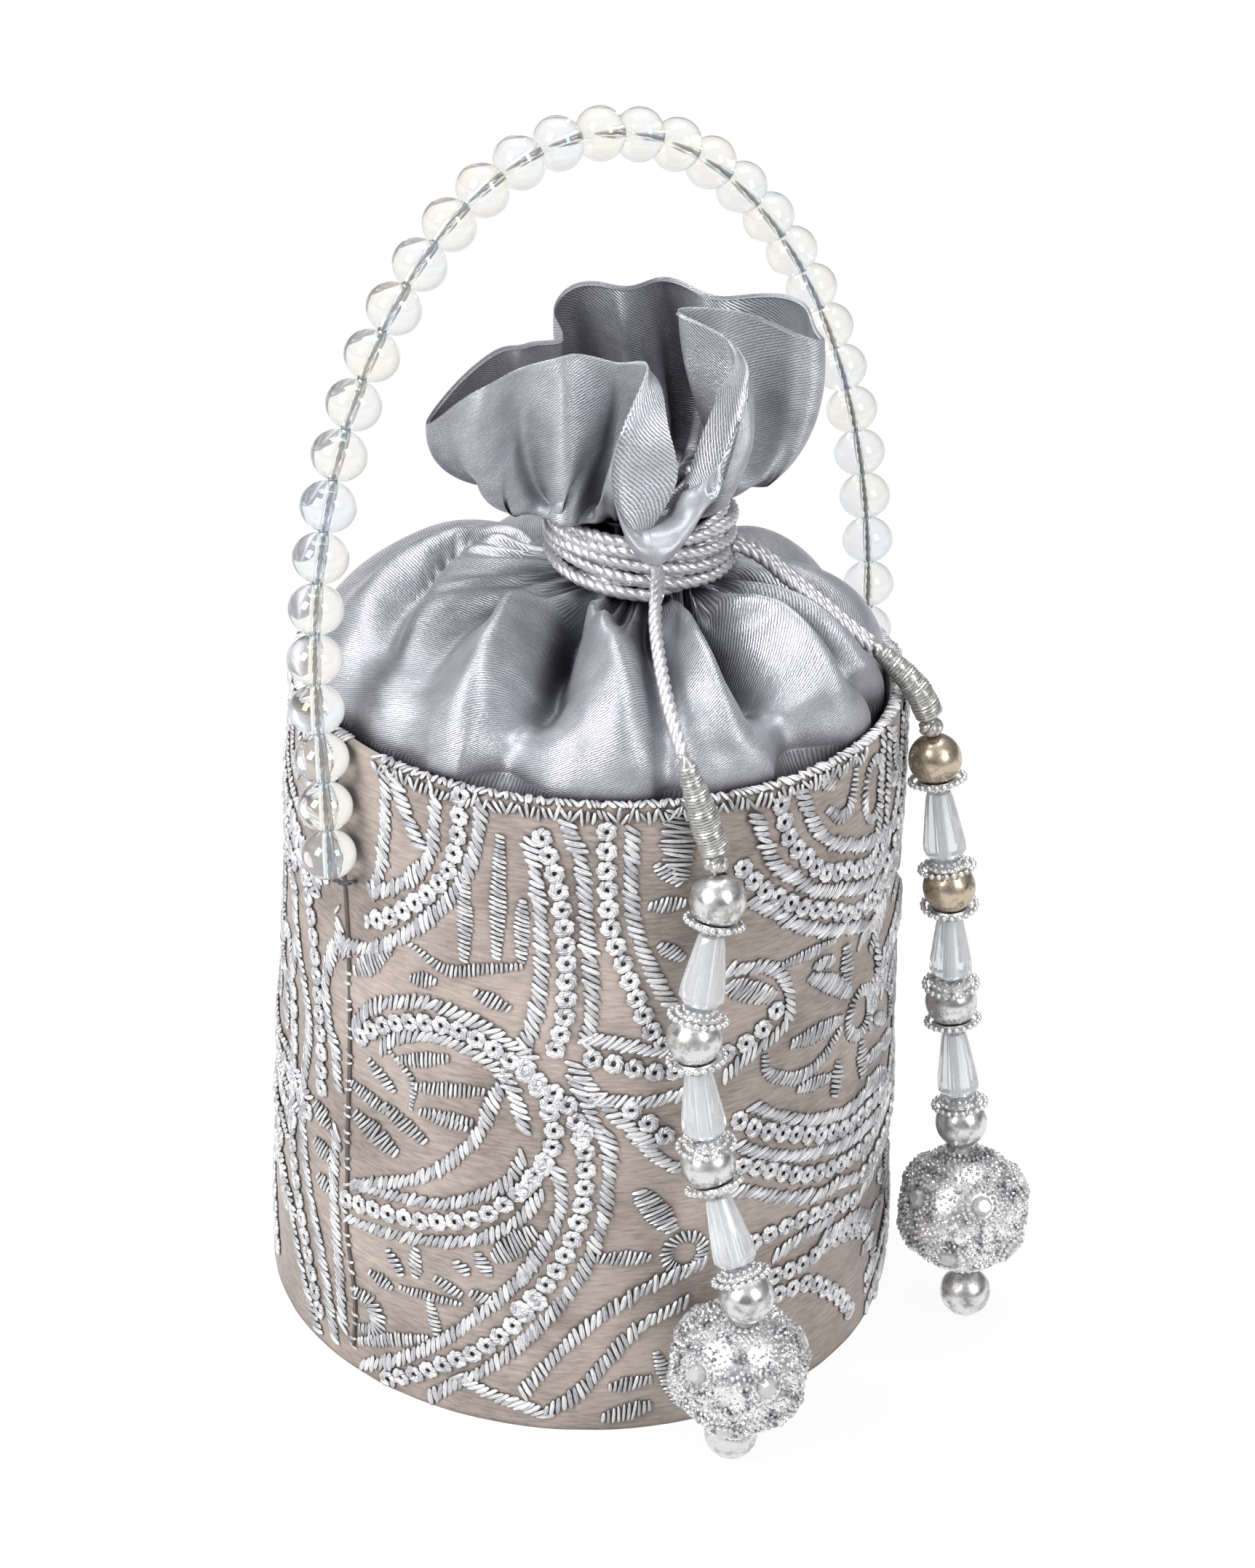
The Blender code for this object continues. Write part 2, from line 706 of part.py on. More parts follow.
def cone_mesh(length):
    """A fluted cone bead, narrow at +Z, with eight flutes and a rounded foot."""
    flare = CONE_FLARE_RADIUS
    shares = ((0.5, CONE_TOP_RADIUS), (0.42, CONE_TOP_RADIUS), (-0.3, flare), (-0.42, flare), (-0.5, 0.82 * flare))
    return sweep([(UP * share * length, radius) for share, radius in shares], 8)


def ball_mesh():
    """The large ball, with a raised medallion round each corner of an icosahedron."""
    bm = bmesh.new()
    bmesh.ops.create_icosphere(bm, subdivisions=3, radius=BALL_DIAMETER / 2)
    corners = [v for v in bm.verts if len(v.link_edges) == 5]
    raised = {v for c in corners for v in [c, *(e.other_vert(c) for e in c.link_edges)]}
    for v in raised:
        v.co *= 1 + MEDALLION_RAISE / (BALL_DIAMETER / 2)
    return bm


def build_wrap(name, route, pivot, surface):
    """The thread-wrapped end of a cord, with a rounded tip centred on the joint."""
    points = smooth_curve([from_rim(p) for p in route], 2)
    back = (points[0] - points[1]).normalized()
    tip = WRAP_TIP_RADIUS
    stations = [(points[0] + back * 0.97 * tip, 0.25 * tip), (points[0] + back * 0.6 * tip, 0.8 * tip)]
    grow = [tip + (WRAP_RADIUS - tip) * min(1, 1.6 * k / (len(points) - 1)) for k in range(len(points))]
    stations += list(zip(points, grow))
    piece = add_mesh(name, sweep(stations, 8), surface)
    hang(piece, pivot, Matrix.Identity(4))
    return points[-1], (points[-1] - points[-2]).normalized()


def build_knot(name, start, along, bead, pivot, surface):
    """The knot that fills the space between the wrapped end and the first bead."""
    down = (bead - start).normalized()
    tilt = WRAP_RADIUS * math.tan(along.angle(down))
    first = start + down * (FIT_GAP + tilt)
    last = bead - down * (SILVER_BEAD_DIAMETER / 2 + FIT_GAP)
    shares = ((0, 0.6), (0.3, 1), (0.7, 1), (1, 0.55))
    stations = [(first.lerp(last, share), KNOT_RADIUS * size) for share, size in shares]
    piece = add_mesh(name, sweep(stations, 8), surface)
    hang(piece, pivot, Matrix.Identity(4))


def build_tassel(side, wrap_route, bead_points, surfaces):
    """Wrapped end, knot, beads, caps, cones and the ball, all hung from one pivot."""
    pivot = add_pivot(f"{side}_tassel_pivot", from_rim(wrap_route[0]))
    end, along = build_wrap(f"{side}_wrapped_end", wrap_route, pivot, surfaces["silver_thread"])
    centres = string_centres(bead_points)
    build_knot(f"{side}_knot", end, along, centres[0], pivot, surfaces["silver_thread"])
    count = len(centres)
    for k, centre in enumerate(centres):
        place = aimed(centre, centres[max(k - 1, 0)] - centres[min(k + 1, count - 1)])
        bead = add_mesh(f"{side}_silver_bead_{k + 1}", bead_mesh(), surfaces["silver_bead"])
        hang(bead, pivot, place)
    for k in range(count - 2):
        above, below = centres[k], centres[k + 1]
        fall = (below - above).normalized()
        upper = add_mesh(f"{side}_cap_{2 * k + 1}", cap_mesh(), surfaces["silver_cap"])
        hang(upper, pivot, aimed(above, fall))
        lower = add_mesh(f"{side}_cap_{2 * k + 2}", cap_mesh(), surfaces["silver_cap"])
        hang(lower, pivot, aimed(below, -fall))
        cone = add_mesh(f"{side}_cone_{k + 1}", cone_mesh(CONE_LENGTH), surfaces["clear_cone"])
        hang(cone, pivot, aimed((above + below) / 2, -fall))
    ball = add_mesh(f"{side}_ball", ball_mesh(), surfaces["stone_ball"], smooth_angle=20)
    hang(ball, pivot, aimed((centres[-2] + centres[-1]) / 2, centres[-2] - centres[-1]))


def string_centres(bead_points):
    """Bead centres spaced by what is strung between them, down the hand-placed string."""
    aims = [from_rim(p) for p in bead_points]
    spacing = 2 * hug() + CONE_LENGTH
    reach = SILVER_BEAD_DIAMETER + BALL_DIAMETER + 2 * (MEDALLION_RAISE + FIT_GAP)
    centres = [aims[0]]
    for k in range(1, len(aims)):
        step = spacing if k < len(aims) - 1 else reach
        centres.append(centres[-1] + (aims[k] - aims[k - 1]).normalized() * step)
    return centres


def main():
    clear_scene()
    cloth = material("embroidered_satin", TAUPE, 0.55)
    satin = material("grey_satin", SATIN_GREY, 0.35)
    glass = material("clear_glass", (0.9, 0.92, 0.95), 0.03, transmission=0.9)
    surfaces = {
        "silver_thread": material("silver_thread", SILVER, 0.35, metallic=0.9),
        "silver_bead": material("silver_bead", SILVER, 0.2, metallic=1.0),
        "silver_cap": material("silver_cap", SILVER, 0.25, metallic=1.0),
        "clear_cone": material("clear_cone", (0.9, 0.92, 0.93), 0.1, transmission=0.8),
        "stone_ball": material("stone_ball", (0.6, 0.6, 0.62), 0.3, metallic=0.7),
    }
    build_wall(cloth)
    build_base(cloth)
    build_satin(satin)
    build_neck_band(surfaces["silver_thread"])
    thread = surfaces["silver_thread"]
    build_cord("front_cord", FRONT_CORD_ROUTE, FRONT_WRAP_ROUTE[0], thread)
    half = RIGHT_STRAND_SPACING / 2
    build_cord("right_cord_1", RIGHT_CORD_ROUTE, RIGHT_WRAP_ROUTE[0], thread, -half)
    build_cord("right_cord_2", RIGHT_CORD_ROUTE, RIGHT_WRAP_ROUTE[0], thread, half)
    build_handle(glass)
    build_tassel("front", FRONT_WRAP_ROUTE, FRONT_BEAD_POINTS, surfaces)
    build_tassel("right", RIGHT_WRAP_ROUTE, RIGHT_BEAD_POINTS, surfaces)


main()
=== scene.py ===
# %% [markdown]
# # A drawstring potli bag
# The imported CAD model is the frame: it gives the size, the place and the body of every part. This
# script dresses that frame: embroidered cloth on the drum, gathered satin above it, twisted silver
# cord, a handle of glass beads and two beaded tassels.

import math
import random

import bmesh
import bpy
import numpy as np
from mathutils import Matrix, Vector, noise


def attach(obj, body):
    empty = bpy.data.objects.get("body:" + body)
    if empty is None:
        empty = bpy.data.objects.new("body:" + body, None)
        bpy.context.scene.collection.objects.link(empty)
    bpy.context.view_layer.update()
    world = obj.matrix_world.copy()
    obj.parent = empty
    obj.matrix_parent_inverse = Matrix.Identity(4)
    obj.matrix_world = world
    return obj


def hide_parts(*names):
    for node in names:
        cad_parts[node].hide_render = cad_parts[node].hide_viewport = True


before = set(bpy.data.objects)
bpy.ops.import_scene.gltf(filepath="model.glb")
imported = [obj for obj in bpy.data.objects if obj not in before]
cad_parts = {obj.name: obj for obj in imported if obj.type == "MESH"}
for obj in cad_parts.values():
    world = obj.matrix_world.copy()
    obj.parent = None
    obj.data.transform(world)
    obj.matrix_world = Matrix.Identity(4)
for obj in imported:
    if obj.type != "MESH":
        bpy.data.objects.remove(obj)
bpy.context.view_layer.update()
MM = 0.001
UP = Vector((0, 0, 1))

# %% [markdown]
# ## Small tools
# Colours are written as hex codes and turned into linear light in one place. A shape that repeats
# hundreds of times, such as a stitch, is modelled once with mesh operators and then copied.

# %% Small tools


def linear(code):
    """A hex colour as linear RGBA."""
    shares = [int(code[i : i + 2], 16) / 255 for i in (1, 3, 5)]
    return (*[s / 12.92 if s <= 0.04045 else ((s + 0.055) / 1.055) ** 2.4 for s in shares], 1)


def add_node(tree, kind, inputs=None, **settings):
    """One shader node, with its settings and its inputs set or linked."""
    made = tree.nodes.new(kind)
    for key, value in settings.items():
        setattr(made, key, value)
    for key, value in (inputs or {}).items():
        if isinstance(value, bpy.types.NodeSocket):
            tree.links.new(value, made.inputs[key])
        else:
            made.inputs[key].default_value = value
    return made


def new_material(name, **constants):
    """A material, its node tree and its Principled shader with the constants set."""
    made = bpy.data.materials.new(name)
    made.use_nodes = True
    tree = made.node_tree
    shader = tree.nodes["Principled BSDF"]
    for key, value in constants.items():
        shader.inputs[key.replace("_", " ")].default_value = value
    return made, tree, shader


def ramp(tree, factor, *stops):
    """A colour ramp through (place, hex colour) stops."""
    made = add_node(tree, "ShaderNodeValToRGB", {"Fac": factor})
    row = made.color_ramp.elements
    while len(row) < len(stops):
        row.new(0.5)
    for slot, (place, code) in zip(row, stops):
        slot.position = place
        slot.color = linear(code)
    return made.outputs["Color"]


def maths(tree, operation, *values):
    """The result of one operation on shader values."""
    return add_node(tree, "ShaderNodeMath", dict(enumerate(values)), operation=operation).outputs[0]


def mean(tree, first, second):
    return maths(tree, "MULTIPLY", maths(tree, "ADD", first, second), 0.5)


def object_place(tree):
    return add_node(tree, "ShaderNodeTexCoord").outputs["Object"]


def noise_at(tree, place, scale, detail, roughness=0.5):
    """Soft noise at a place, from 0 to 1."""
    inputs = {"Vector": place, "Scale": scale, "Detail": detail, "Roughness": roughness}
    return add_node(tree, "ShaderNodeTexNoise", inputs).outputs["Fac"]


def mapped(tree, value, start, end, low, high):
    """A value between start and end, as one between low and high."""
    inputs = {"Value": value, "From Min": start, "From Max": end, "To Min": low, "To Max": high}
    return add_node(tree, "ShaderNodeMapRange", inputs).outputs["Result"]


def multiplied(tree, first, second):
    """Two colours, multiplied."""
    inputs = {"Factor": 1.0, 6: first, 7: second}
    return add_node(tree, "ShaderNodeMix", inputs, data_type="RGBA", blend_type="MULTIPLY").outputs[2]


def painted_gap_shade(tree, colour, reach, dark):
    """A colour darkened by painted shade: it falls to a dark one where something stands close by."""
    open_sky = add_node(tree, "ShaderNodeAmbientOcclusion", {"Distance": reach}, samples=6)
    return multiplied(tree, colour, ramp(tree, open_sky.outputs["AO"], (0.25, dark), (0.85, "#ffffff")))


def relief(tree, shader, height, strength, distance):
    """Fine relief on a material, from a height."""
    bump = add_node(tree, "ShaderNodeBump", {"Height": height, "Strength": strength, "Distance": distance})
    tree.links.new(bump.outputs["Normal"], shader.inputs["Normal"])


def mesh_of(bm):
    mesh = bpy.data.meshes.new("mesh")
    bm.to_mesh(mesh)
    bm.free()
    return mesh


def dress(mesh, name, material, body="bag", smooth=60, node=None):
    """A mesh as a shaded piece that rides on a body, in place of a CAD node where one is named."""
    mesh.shade_smooth()
    mesh.set_sharp_from_angle(angle=math.radians(smooth))
    mesh.materials.clear()
    mesh.materials.append(material)
    piece = bpy.data.objects.new(name, mesh)
    bpy.context.collection.objects.link(piece)
    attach(piece, body)
    if node:
        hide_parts(node)
    return piece


def level_way(turn):
    """The level direction at an angle from +X."""
    return Vector((math.cos(turn), math.sin(turn), 0))


def swept(first, second, turn):
    """The direction at an angle from a first one towards a second."""
    return first * math.cos(turn) + second * math.sin(turn)


def aimed(centre, along):
    """The placement that takes a shape's middle to a centre and its +Z along a direction."""
    return Matrix.Translation(centre) @ along.to_track_quat("Z", "Y").to_matrix().to_4x4()


def turned(profile, steps):
    """A closed section of (radius, height) points turned about Z."""
    bm = bmesh.new()
    points = [bm.verts.new((radius, 0, height)) for radius, height in profile]
    edges = [bm.edges.new(pair) for pair in zip(points, points[1:] + points[:1])]
    bmesh.ops.spin(
        bm, geom=points + edges, cent=(0, 0, 0), axis=UP, angle=math.tau, steps=steps, use_merge=True
    )
    bmesh.ops.remove_doubles(bm, verts=bm.verts, dist=0.002 * MM)
    bmesh.ops.recalc_face_normals(bm, faces=bm.faces)
    return bm


def copies(bm, placements, shades=None):
    """One mesh of many placed copies of a small shape, with a shade from 0 to 1 for each copy."""
    bm.verts.ensure_lookup_table()
    points = np.array([(*v.co, 1) for v in bm.verts])
    faces = [[v.index for v in f.verts] for f in bm.faces]
    bm.free()
    placed = np.array([list(map(list, m)) for m in placements])
    moved = np.einsum("nij,kj->nki", placed, points)[:, :, :3].reshape(-1, 3)
    size = len(points)
    mesh = bpy.data.meshes.new("copies")
    mesh.from_pydata(moved, [], [[i + size * k for i in f] for k in range(len(placed)) for f in faces])
    if shades is not None:
        shade = mesh.attributes.new("shade", "FLOAT", "POINT")
        shade.data.foreach_set("value", np.repeat(np.array(shades, dtype=np.float32), size))
        strand = mesh.attributes.new("strand", "FLOAT", "POINT")
        strand.data.foreach_set("value", np.tile(points[:, 1].astype(np.float32), len(placed)))
    return mesh


def joined(meshes):
    """Several meshes as one, by way of one bmesh."""
    bm = bmesh.new()
    for mesh in meshes:
        bm.from_mesh(mesh)
    return mesh_of(bm)


def catmull(a, b, c, d, t):
    """A smooth curve from b to c, at a share t."""
    return 0.5 * (2 * b + (c - a) * t + (2 * a - 5 * b + 4 * c - d) * t**2 + (3 * b - a - 3 * c + d) * t**3)


def smooth_curve(points, samples):
    """Points along a smooth curve through a list of points."""
    route = [Vector(p) for p in points]
    ends = [2 * route[0] - route[1], *route, 2 * route[-1] - route[-2]]
    spans = range(len(route) - 1)
    return [catmull(*ends[i : i + 4], k / samples) for i in spans for k in range(samples)] + [route[-1]]


def runs(points):
    """How far along a line each of its points lies."""
    found = [0.0]
    for a, b in zip(points, points[1:]):
        found.append(found[-1] + (b - a).length)
    return found


def even(points, step):
    """The same line with points a fixed step apart."""
    lengths = runs(points)
    count = max(1, round(lengths[-1] / step))
    found, i = [], 0
    for k in range(count + 1):
        wanted = lengths[-1] * k / count
        while i < len(points) - 2 and lengths[i + 1] < wanted:
            i += 1
        gap = lengths[i + 1] - lengths[i]
        found.append(points[i].lerp(points[i + 1], (wanted - lengths[i]) / gap if gap else 0))
    return found


def directions(points):
    """A line's direction at each of its points."""
    return [(b - a).normalized() for a, b in zip([points[0], *points], [*points[1:], points[-1]])]


def frames_along(points):
    """Two directions across a line at each of its points, which don't twist round it."""
    side, found = None, []
    for along in directions(points):
        side = along.orthogonal().normalized() if side is None else side
        side = (side - along * side.dot(along)).normalized()
        found.append((side, along.cross(side)))
    return found


def tube_mesh(lines, resolution=1):
    """Round tubes along lines of (point, radius), as one mesh with closed ends."""
    curve = bpy.data.curves.new("tube", "CURVE")
    curve.dimensions = "3D"
    curve.bevel_depth = 1
    curve.bevel_resolution = resolution
    curve.use_fill_caps = True
    for line in lines:
        spline = curve.splines.new("POLY")
        spline.points.add(len(line) - 1)
        for slot, (point, radius) in zip(spline.points, line):
            slot.co = (*point, 1)
            slot.radius = radius
    holder = bpy.data.objects.new("tube", curve)
    bpy.context.collection.objects.link(holder)
    mesh = bpy.data.meshes.new_from_object(holder.evaluated_get(bpy.context.evaluated_depsgraph_get()))
    bpy.data.objects.remove(holder, do_unlink=True)
    return mesh


# How much of a cord's thickness one of its strands takes up.
STRAND_SHARE = 0.56


def rope(points, diameter, pitch, strands=3, resolution=1):
    """A twisted cord along a line of evenly spaced points."""
    radius = diameter / 2 * STRAND_SHARE
    lines = []
    for s in range(strands):
        line = []
        for p, run, across in zip(points, runs(points), frames_along(points)):
            turn = math.tau * (run / pitch + s / strands)
            line.append((p + swept(*across, turn) * (diameter / 2 - radius), radius))
        lines.append(line)
    return tube_mesh(lines, resolution)


# %% [markdown]
# ## Driving sizes
# These repeat the sizes of the CAD source, in metres, so that each dressed piece lies on its solid.

# %% Driving sizes
BASE_RADIUS = 62.3 * MM
RIM_RADIUS = 57.0 * MM
WALL_HEIGHT = 131.3 * MM
WALL_THICKNESS = 2.4 * MM
NECK_OFFSET = 6.7 * MM
NECK_RADIUS = 13.8 * MM
DOME_RISE = 19.6 * MM
DOME_FULLNESS = 2.6
CORD_DIAMETER = 2.4 * MM
BEAD = 10.0 * MM
CAP_GAP = 0.5 * MM
CAP_WALL = 0.8 * MM
CONE_LENGTH = 12.6 * MM
BALL_DIAMETER = 25.2 * MM
# What keeps one hard piece from the next.
GAP = 0.3 * MM
SATIN_RADIUS = RIM_RADIUS - WALL_THICKNESS - GAP


def wall_radius(height):
    return BASE_RADIUS + (RIM_RADIUS - BASE_RADIUS) * height / WALL_HEIGHT


def from_rim(point):
    """A route's point, in mm from the axis and up from the rim, in metres."""
    x, y, z = (value * MM for value in point)
    return Vector((x, y, WALL_HEIGHT + z))


def on_wall(degrees, height, lift=0.0):
    """A point on the drum's cloth, from its angle and its height in mm, lifted off it in mm."""
    radius = wall_radius(height * MM) + lift * MM
    turn = math.radians(degrees)
    return Vector((radius * math.cos(turn), radius * math.sin(turn), height * MM))


# %% [markdown]
# ## Camera and light
# The camera's place comes from fitting the drum's rim, base and height to the photograph. Three soft
# boxes light the bag, the strongest high on the left, in a room that is greyer low down than above.
# Metal needs that change of tone to look like metal. The background is white because the floor and
# the world answer the camera's rays with plain white, so no more light has to fall on the bag.

# %% Camera and light
CAMERA_PLACE = Vector((6.265, -550.472, 399.279)) * MM
CAMERA_RIGHT = Vector((0.99918147, 0.01904371, 0.03568923))
CAMERA_UP = Vector((-0.04045224, 0.47038479, 0.88153376))
FLOOR_WHITE = 0.93
ROOM_STRENGTH = 0.62
LAMP_AIM = Vector((0, 0, 0.1))
# Each soft box: name, place, size and power.
LAMPS = [
    ("left_box", (-1.0, -0.8, 0.95), (0.6, 0.9), 24),
    ("right_box", (0.95, -0.9, 1.0), (0.5, 0.8), 12),
    ("top_box", (-0.1, 0.3, 1.5), (1.2, 0.7), 16),
]


def build_camera():
    lens = bpy.data.cameras.new("camera")
    lens.lens = 75.1
    lens.sensor_width = 36
    lens.clip_start = 0.01
    camera = bpy.data.objects.new("camera", lens)
    back = CAMERA_RIGHT.cross(CAMERA_UP)
    turn = Matrix((CAMERA_RIGHT, CAMERA_UP, back)).transposed().to_4x4()
    camera.matrix_world = Matrix.Translation(CAMERA_PLACE) @ turn
    bpy.context.collection.objects.link(camera)
    bpy.context.scene.camera = camera


def area_light(name, place, size, power):
    data = bpy.data.lights.new(name, "AREA")
    data.shape = "RECTANGLE"
    data.size, data.size_y = size
    data.energy = power
    lamp = bpy.data.objects.new(name, data)
    turn = (LAMP_AIM - Vector(place)).to_track_quat("-Z", "Y").to_matrix().to_4x4()
    lamp.matrix_world = Matrix.Translation(place) @ turn
    bpy.context.collection.objects.link(lamp)


def seen_rays(tree, *kinds):
    """1 for rays of the named kinds and 0 for the rest, which carry light."""
    rays = add_node(tree, "ShaderNodeLightPath")
    share = 0.0
    for kind in kinds:
        share = maths(tree, "MAXIMUM", share, rays.outputs[f"Is {kind} Ray"])
    return share


def build_world():
    """White to the camera and through glass, and a softer grey as light."""
    world = bpy.data.worlds.new("studio")
    bpy.context.scene.world = world
    world.use_nodes = True
    tree = world.node_tree
    tree.nodes.clear()
    sky = add_node(tree, "ShaderNodeTexCoord").outputs["Generated"]
    height = add_node(tree, "ShaderNodeSeparateXYZ", {"Vector": sky}).outputs["Z"]
    tone = ramp(tree, height, (0.0, "#8e9095"), (0.4, "#a3a5aa"), (0.85, "#f4f4f6"))
    room = add_node(tree, "ShaderNodeBackground", {"Color": tone, "Strength": ROOM_STRENGTH})
    white = add_node(tree, "ShaderNodeBackground", {"Color": (1, 1, 1, 1), "Strength": 1.0})
    share = seen_rays(tree, "Camera", "Transmission")
    mix = add_node(tree, "ShaderNodeMixShader", {0: share, 1: room.outputs[0], 2: white.outputs[0]})
    add_node(tree, "ShaderNodeOutputWorld", {"Surface": mix.outputs[0]})


def build_floor():
    """A white table that keeps a little of the bag's shadow."""
    bm = bmesh.new()
    bmesh.ops.create_grid(bm, x_segments=1, y_segments=1, size=6)
    material, tree, shader = new_material("white_table", Base_Color=linear("#f4f4f4"), Roughness=0.9)
    share = maths(tree, "MULTIPLY", seen_rays(tree, "Camera", "Glossy", "Transmission"), FLOOR_WHITE)
    white = add_node(tree, "ShaderNodeEmission", {"Color": (1, 1, 1, 1), "Strength": 1.0})
    mix = add_node(tree, "ShaderNodeMixShader", {0: share, 1: shader.outputs[0], 2: white.outputs[0]})
    tree.links.new(mix.outputs[0], tree.nodes["Material Output"].inputs["Surface"])
    floor = bpy.data.objects.new("floor", mesh_of(bm))
    floor.data.materials.append(material)
    bpy.context.collection.objects.link(floor)


bpy.context.scene.view_settings.view_transform = "Standard"
build_camera()
build_world()
build_floor()
for lamp in LAMPS:
    area_light(*lamp)
print("camera at", [round(v / MM) for v in CAMERA_PLACE], "mm and", len(LAMPS), "lamps")

# %% [markdown]
# ## The cords and the thread's material
# The drawstring is a cord of silver thread, laid from three strands. The two ends run from the neck
# band over the satin to a thread-wrapped end. Each strand is a round tube that winds about the
# route, because the twist is what catches the light. A picture of a twist on one smooth tube would
# be quicker, but its outline would stay straight.

# %% Silver thread


def silver_thread(name, bright="#f0f0f2", dark="#a4a5aa", roughness=0.32, strands=0.0):
    """Metal thread. With strands, fine lines run along each stitch and painted shade darkens its gaps."""
    made, tree, shader = new_material(name, Metallic=0.5 if strands else 0.7, Roughness=roughness)
    height = fuzz = noise_at(tree, object_place(tree), 1400.0, 2.0)
    shade = add_node(tree, "ShaderNodeAttribute", attribute_name="shade").outputs["Fac"]
    tone = mean(tree, fuzz, shade)
    if strands:
        across = add_node(tree, "ShaderNodeAttribute", attribute_name="strand").outputs["Fac"]
        wave = maths(tree, "COSINE", maths(tree, "MULTIPLY", across, strands * math.pi))
        height = maths(tree, "ADD", wave, fuzz)
        # Painted shade: the colour dips in the grooves between the strands.
        tone = maths(tree, "ADD", tone, maths(tree, "MULTIPLY", wave, 0.12))
    colour = ramp(tree, tone, (0.15, dark), (0.75, bright))
    if strands:
        # Painted shade: the colour falls to grey close beside other stitches.
        colour = painted_gap_shade(tree, colour, 1.0 * MM, "#8a8887")
    tree.links.new(colour, shader.inputs["Base Color"])
    relief(tree, shader, height, 0.5, 0.2 * MM)
    return made


CORD_SILVER = silver_thread("silver_cord_thread", "#fdfdfd", "#c6c6c9", 0.36)
WRAP_SILVER = silver_thread("silver_wrapping_thread", "#f0efec", "#aaa9a6")

# %% Cord ends
# Routes in mm, from the drum's axis and up from its rim.
FRONT_CORD_ROUTE = [
    (10.1, -18.3, 26.8), (10.0, -23.5, 25.2), (10.0, -30.0, 22.6), (11.0, -38.5, 19.2), (12.9, -48.0, 15.0),
]
RIGHT_CORD_ROUTE = [
    (25.3, -1.6, 25.8), (29.4, -2.4, 23.9), (34.0, -3.6, 20.6), (41.0, -5.8, 15.8), (46.5, -7.4, 11.9),
]
FRONT_WRAP_ROUTE = [(16.1, -58.2, 9.6), (19.0, -58.6, 1.2), (21.8, -59.0, -6.6)]
RIGHT_WRAP_ROUTE = [(51.2, -8.5, 8.8), (55.2, -9.8, 5.8), (59.0, -10.8, 1.8), (61.4, -11.0, -2.8)]
STRAND_SPACING = 2.8 * MM
WRAP_RADIUS = 2.7 * MM
WRAP_TIP_RADIUS = 1.7 * MM
CORD_STEP = 0.5 * MM
CORD_PITCH = 6.2 * MM
# The strands stand out a little past the plain cord, as a real twist does.
ROPE_DIAMETER = CORD_DIAMETER * 1.06


def cord_path(route, wrap_start, shift):
    """The cord's centre line, from inside the neck band to the tip of its wrapped end."""
    run = [from_rim(p) for p in route]
    inward = Vector((NECK_OFFSET - run[0].x, -run[0].y, 0)).normalized()
    run.insert(0, run[0] + inward * 1.6 * MM)
    tip = from_rim(wrap_start)
    run.append(tip + (run[-1] - tip).normalized() * WRAP_TIP_RADIUS)
    return even(smooth_curve([p + Vector((0, shift, 0)) for p in run], 8), CORD_STEP)


def build_cord(name, route, wrap_start, shift=0.0):
    points = cord_path(route, wrap_start, shift)
    twist = rope(points, ROPE_DIAMETER, CORD_PITCH, resolution=2)
    print(name, "is", round(runs(points)[-1] / MM, 1), "mm long")
    return dress(twist, name + "_twisted", CORD_SILVER, node=name), points


RIGHT_ROUTES = RIGHT_CORD_ROUTE, RIGHT_WRAP_ROUTE[0]
cords = {
    "front_cord": build_cord("front_cord", FRONT_CORD_ROUTE, FRONT_WRAP_ROUTE[0]),
    "right_cord_1": build_cord("right_cord_1", *RIGHT_ROUTES, -STRAND_SPACING / 2),
    "right_cord_2": build_cord("right_cord_2", *RIGHT_ROUTES, STRAND_SPACING / 2),
}

# %% [markdown]
# ## The neck band
# The drawn cord goes round the gathers again and again and the turns cross a little, as hand winding
# does. It is one long line that climbs and wanders, twisted like the free ends, because a stack of
# even rings would look machine made.

# %% Neck band
BAND_TURNS = 5
BAND_LAPS = 9
BAND_STEPS = 160
BAND_START = math.radians(-75)
BAND_BOTTOM = WALL_HEIGHT + DOME_RISE + 0.7 * MM
BAND_HEIGHT = BAND_TURNS * CORD_DIAMETER
BAND_SPARE = 2.8 * MM
BAND_RADIUS = NECK_RADIUS + 2.3 * MM
BAND_WANDER = 1.0 * MM


def band_path():
    """Laps laid up the neck and down again, the later ones over the earlier."""
    found = []
    count = BAND_LAPS * BAND_STEPS
    low = BAND_BOTTOM + CORD_DIAMETER / 2
    high = BAND_BOTTOM + BAND_HEIGHT + BAND_SPARE - CORD_DIAMETER / 2
    for k in range(count + 1):
        turn = math.tau * k / BAND_STEPS
        climb = 2 * k / count
        wave = math.sin(turn * 0.93 + 0.4) + 0.5 * math.sin(2.21 * turn)
        level = low + (high - low) * min(climb, 2 - climb) + wave * BAND_WANDER
        layer = 0 if k < count / 2 else 1
        radius = BAND_RADIUS + (1.3 * layer - 0.8) * MM + 0.25 * MM * math.sin(turn * 1.37)
        place = Vector((NECK_OFFSET, 0, min(max(level, low), high)))
        found.append(place + level_way(turn + BAND_START) * radius)
    return even(found, 0.6 * MM)


band_mesh = rope(band_path(), ROPE_DIAMETER, CORD_PITCH)
dress(band_mesh, "neck_band_cord", CORD_SILVER, node="neck_band")
print("neck band:", len(band_mesh.polygons), "faces")

# %% [markdown]
# ## Wrapped ends and knots
# Where a cord ends, fine thread is wound round it in tight turns and a knot holds the first bead.
# The winding is one real line of thread round a core, which gives the end its fine ribs.

# %% Wrapped ends and knots
WRAP_THREAD = 0.55 * MM
KNOT_THREAD_RADIUS = 0.7 * MM


def wrap_radius(share):
    """The wrapped end's radius, which grows from its tip over the first part of its length."""
    return WRAP_TIP_RADIUS + (WRAP_RADIUS - WRAP_TIP_RADIUS) * min(1, 1.6 * share)


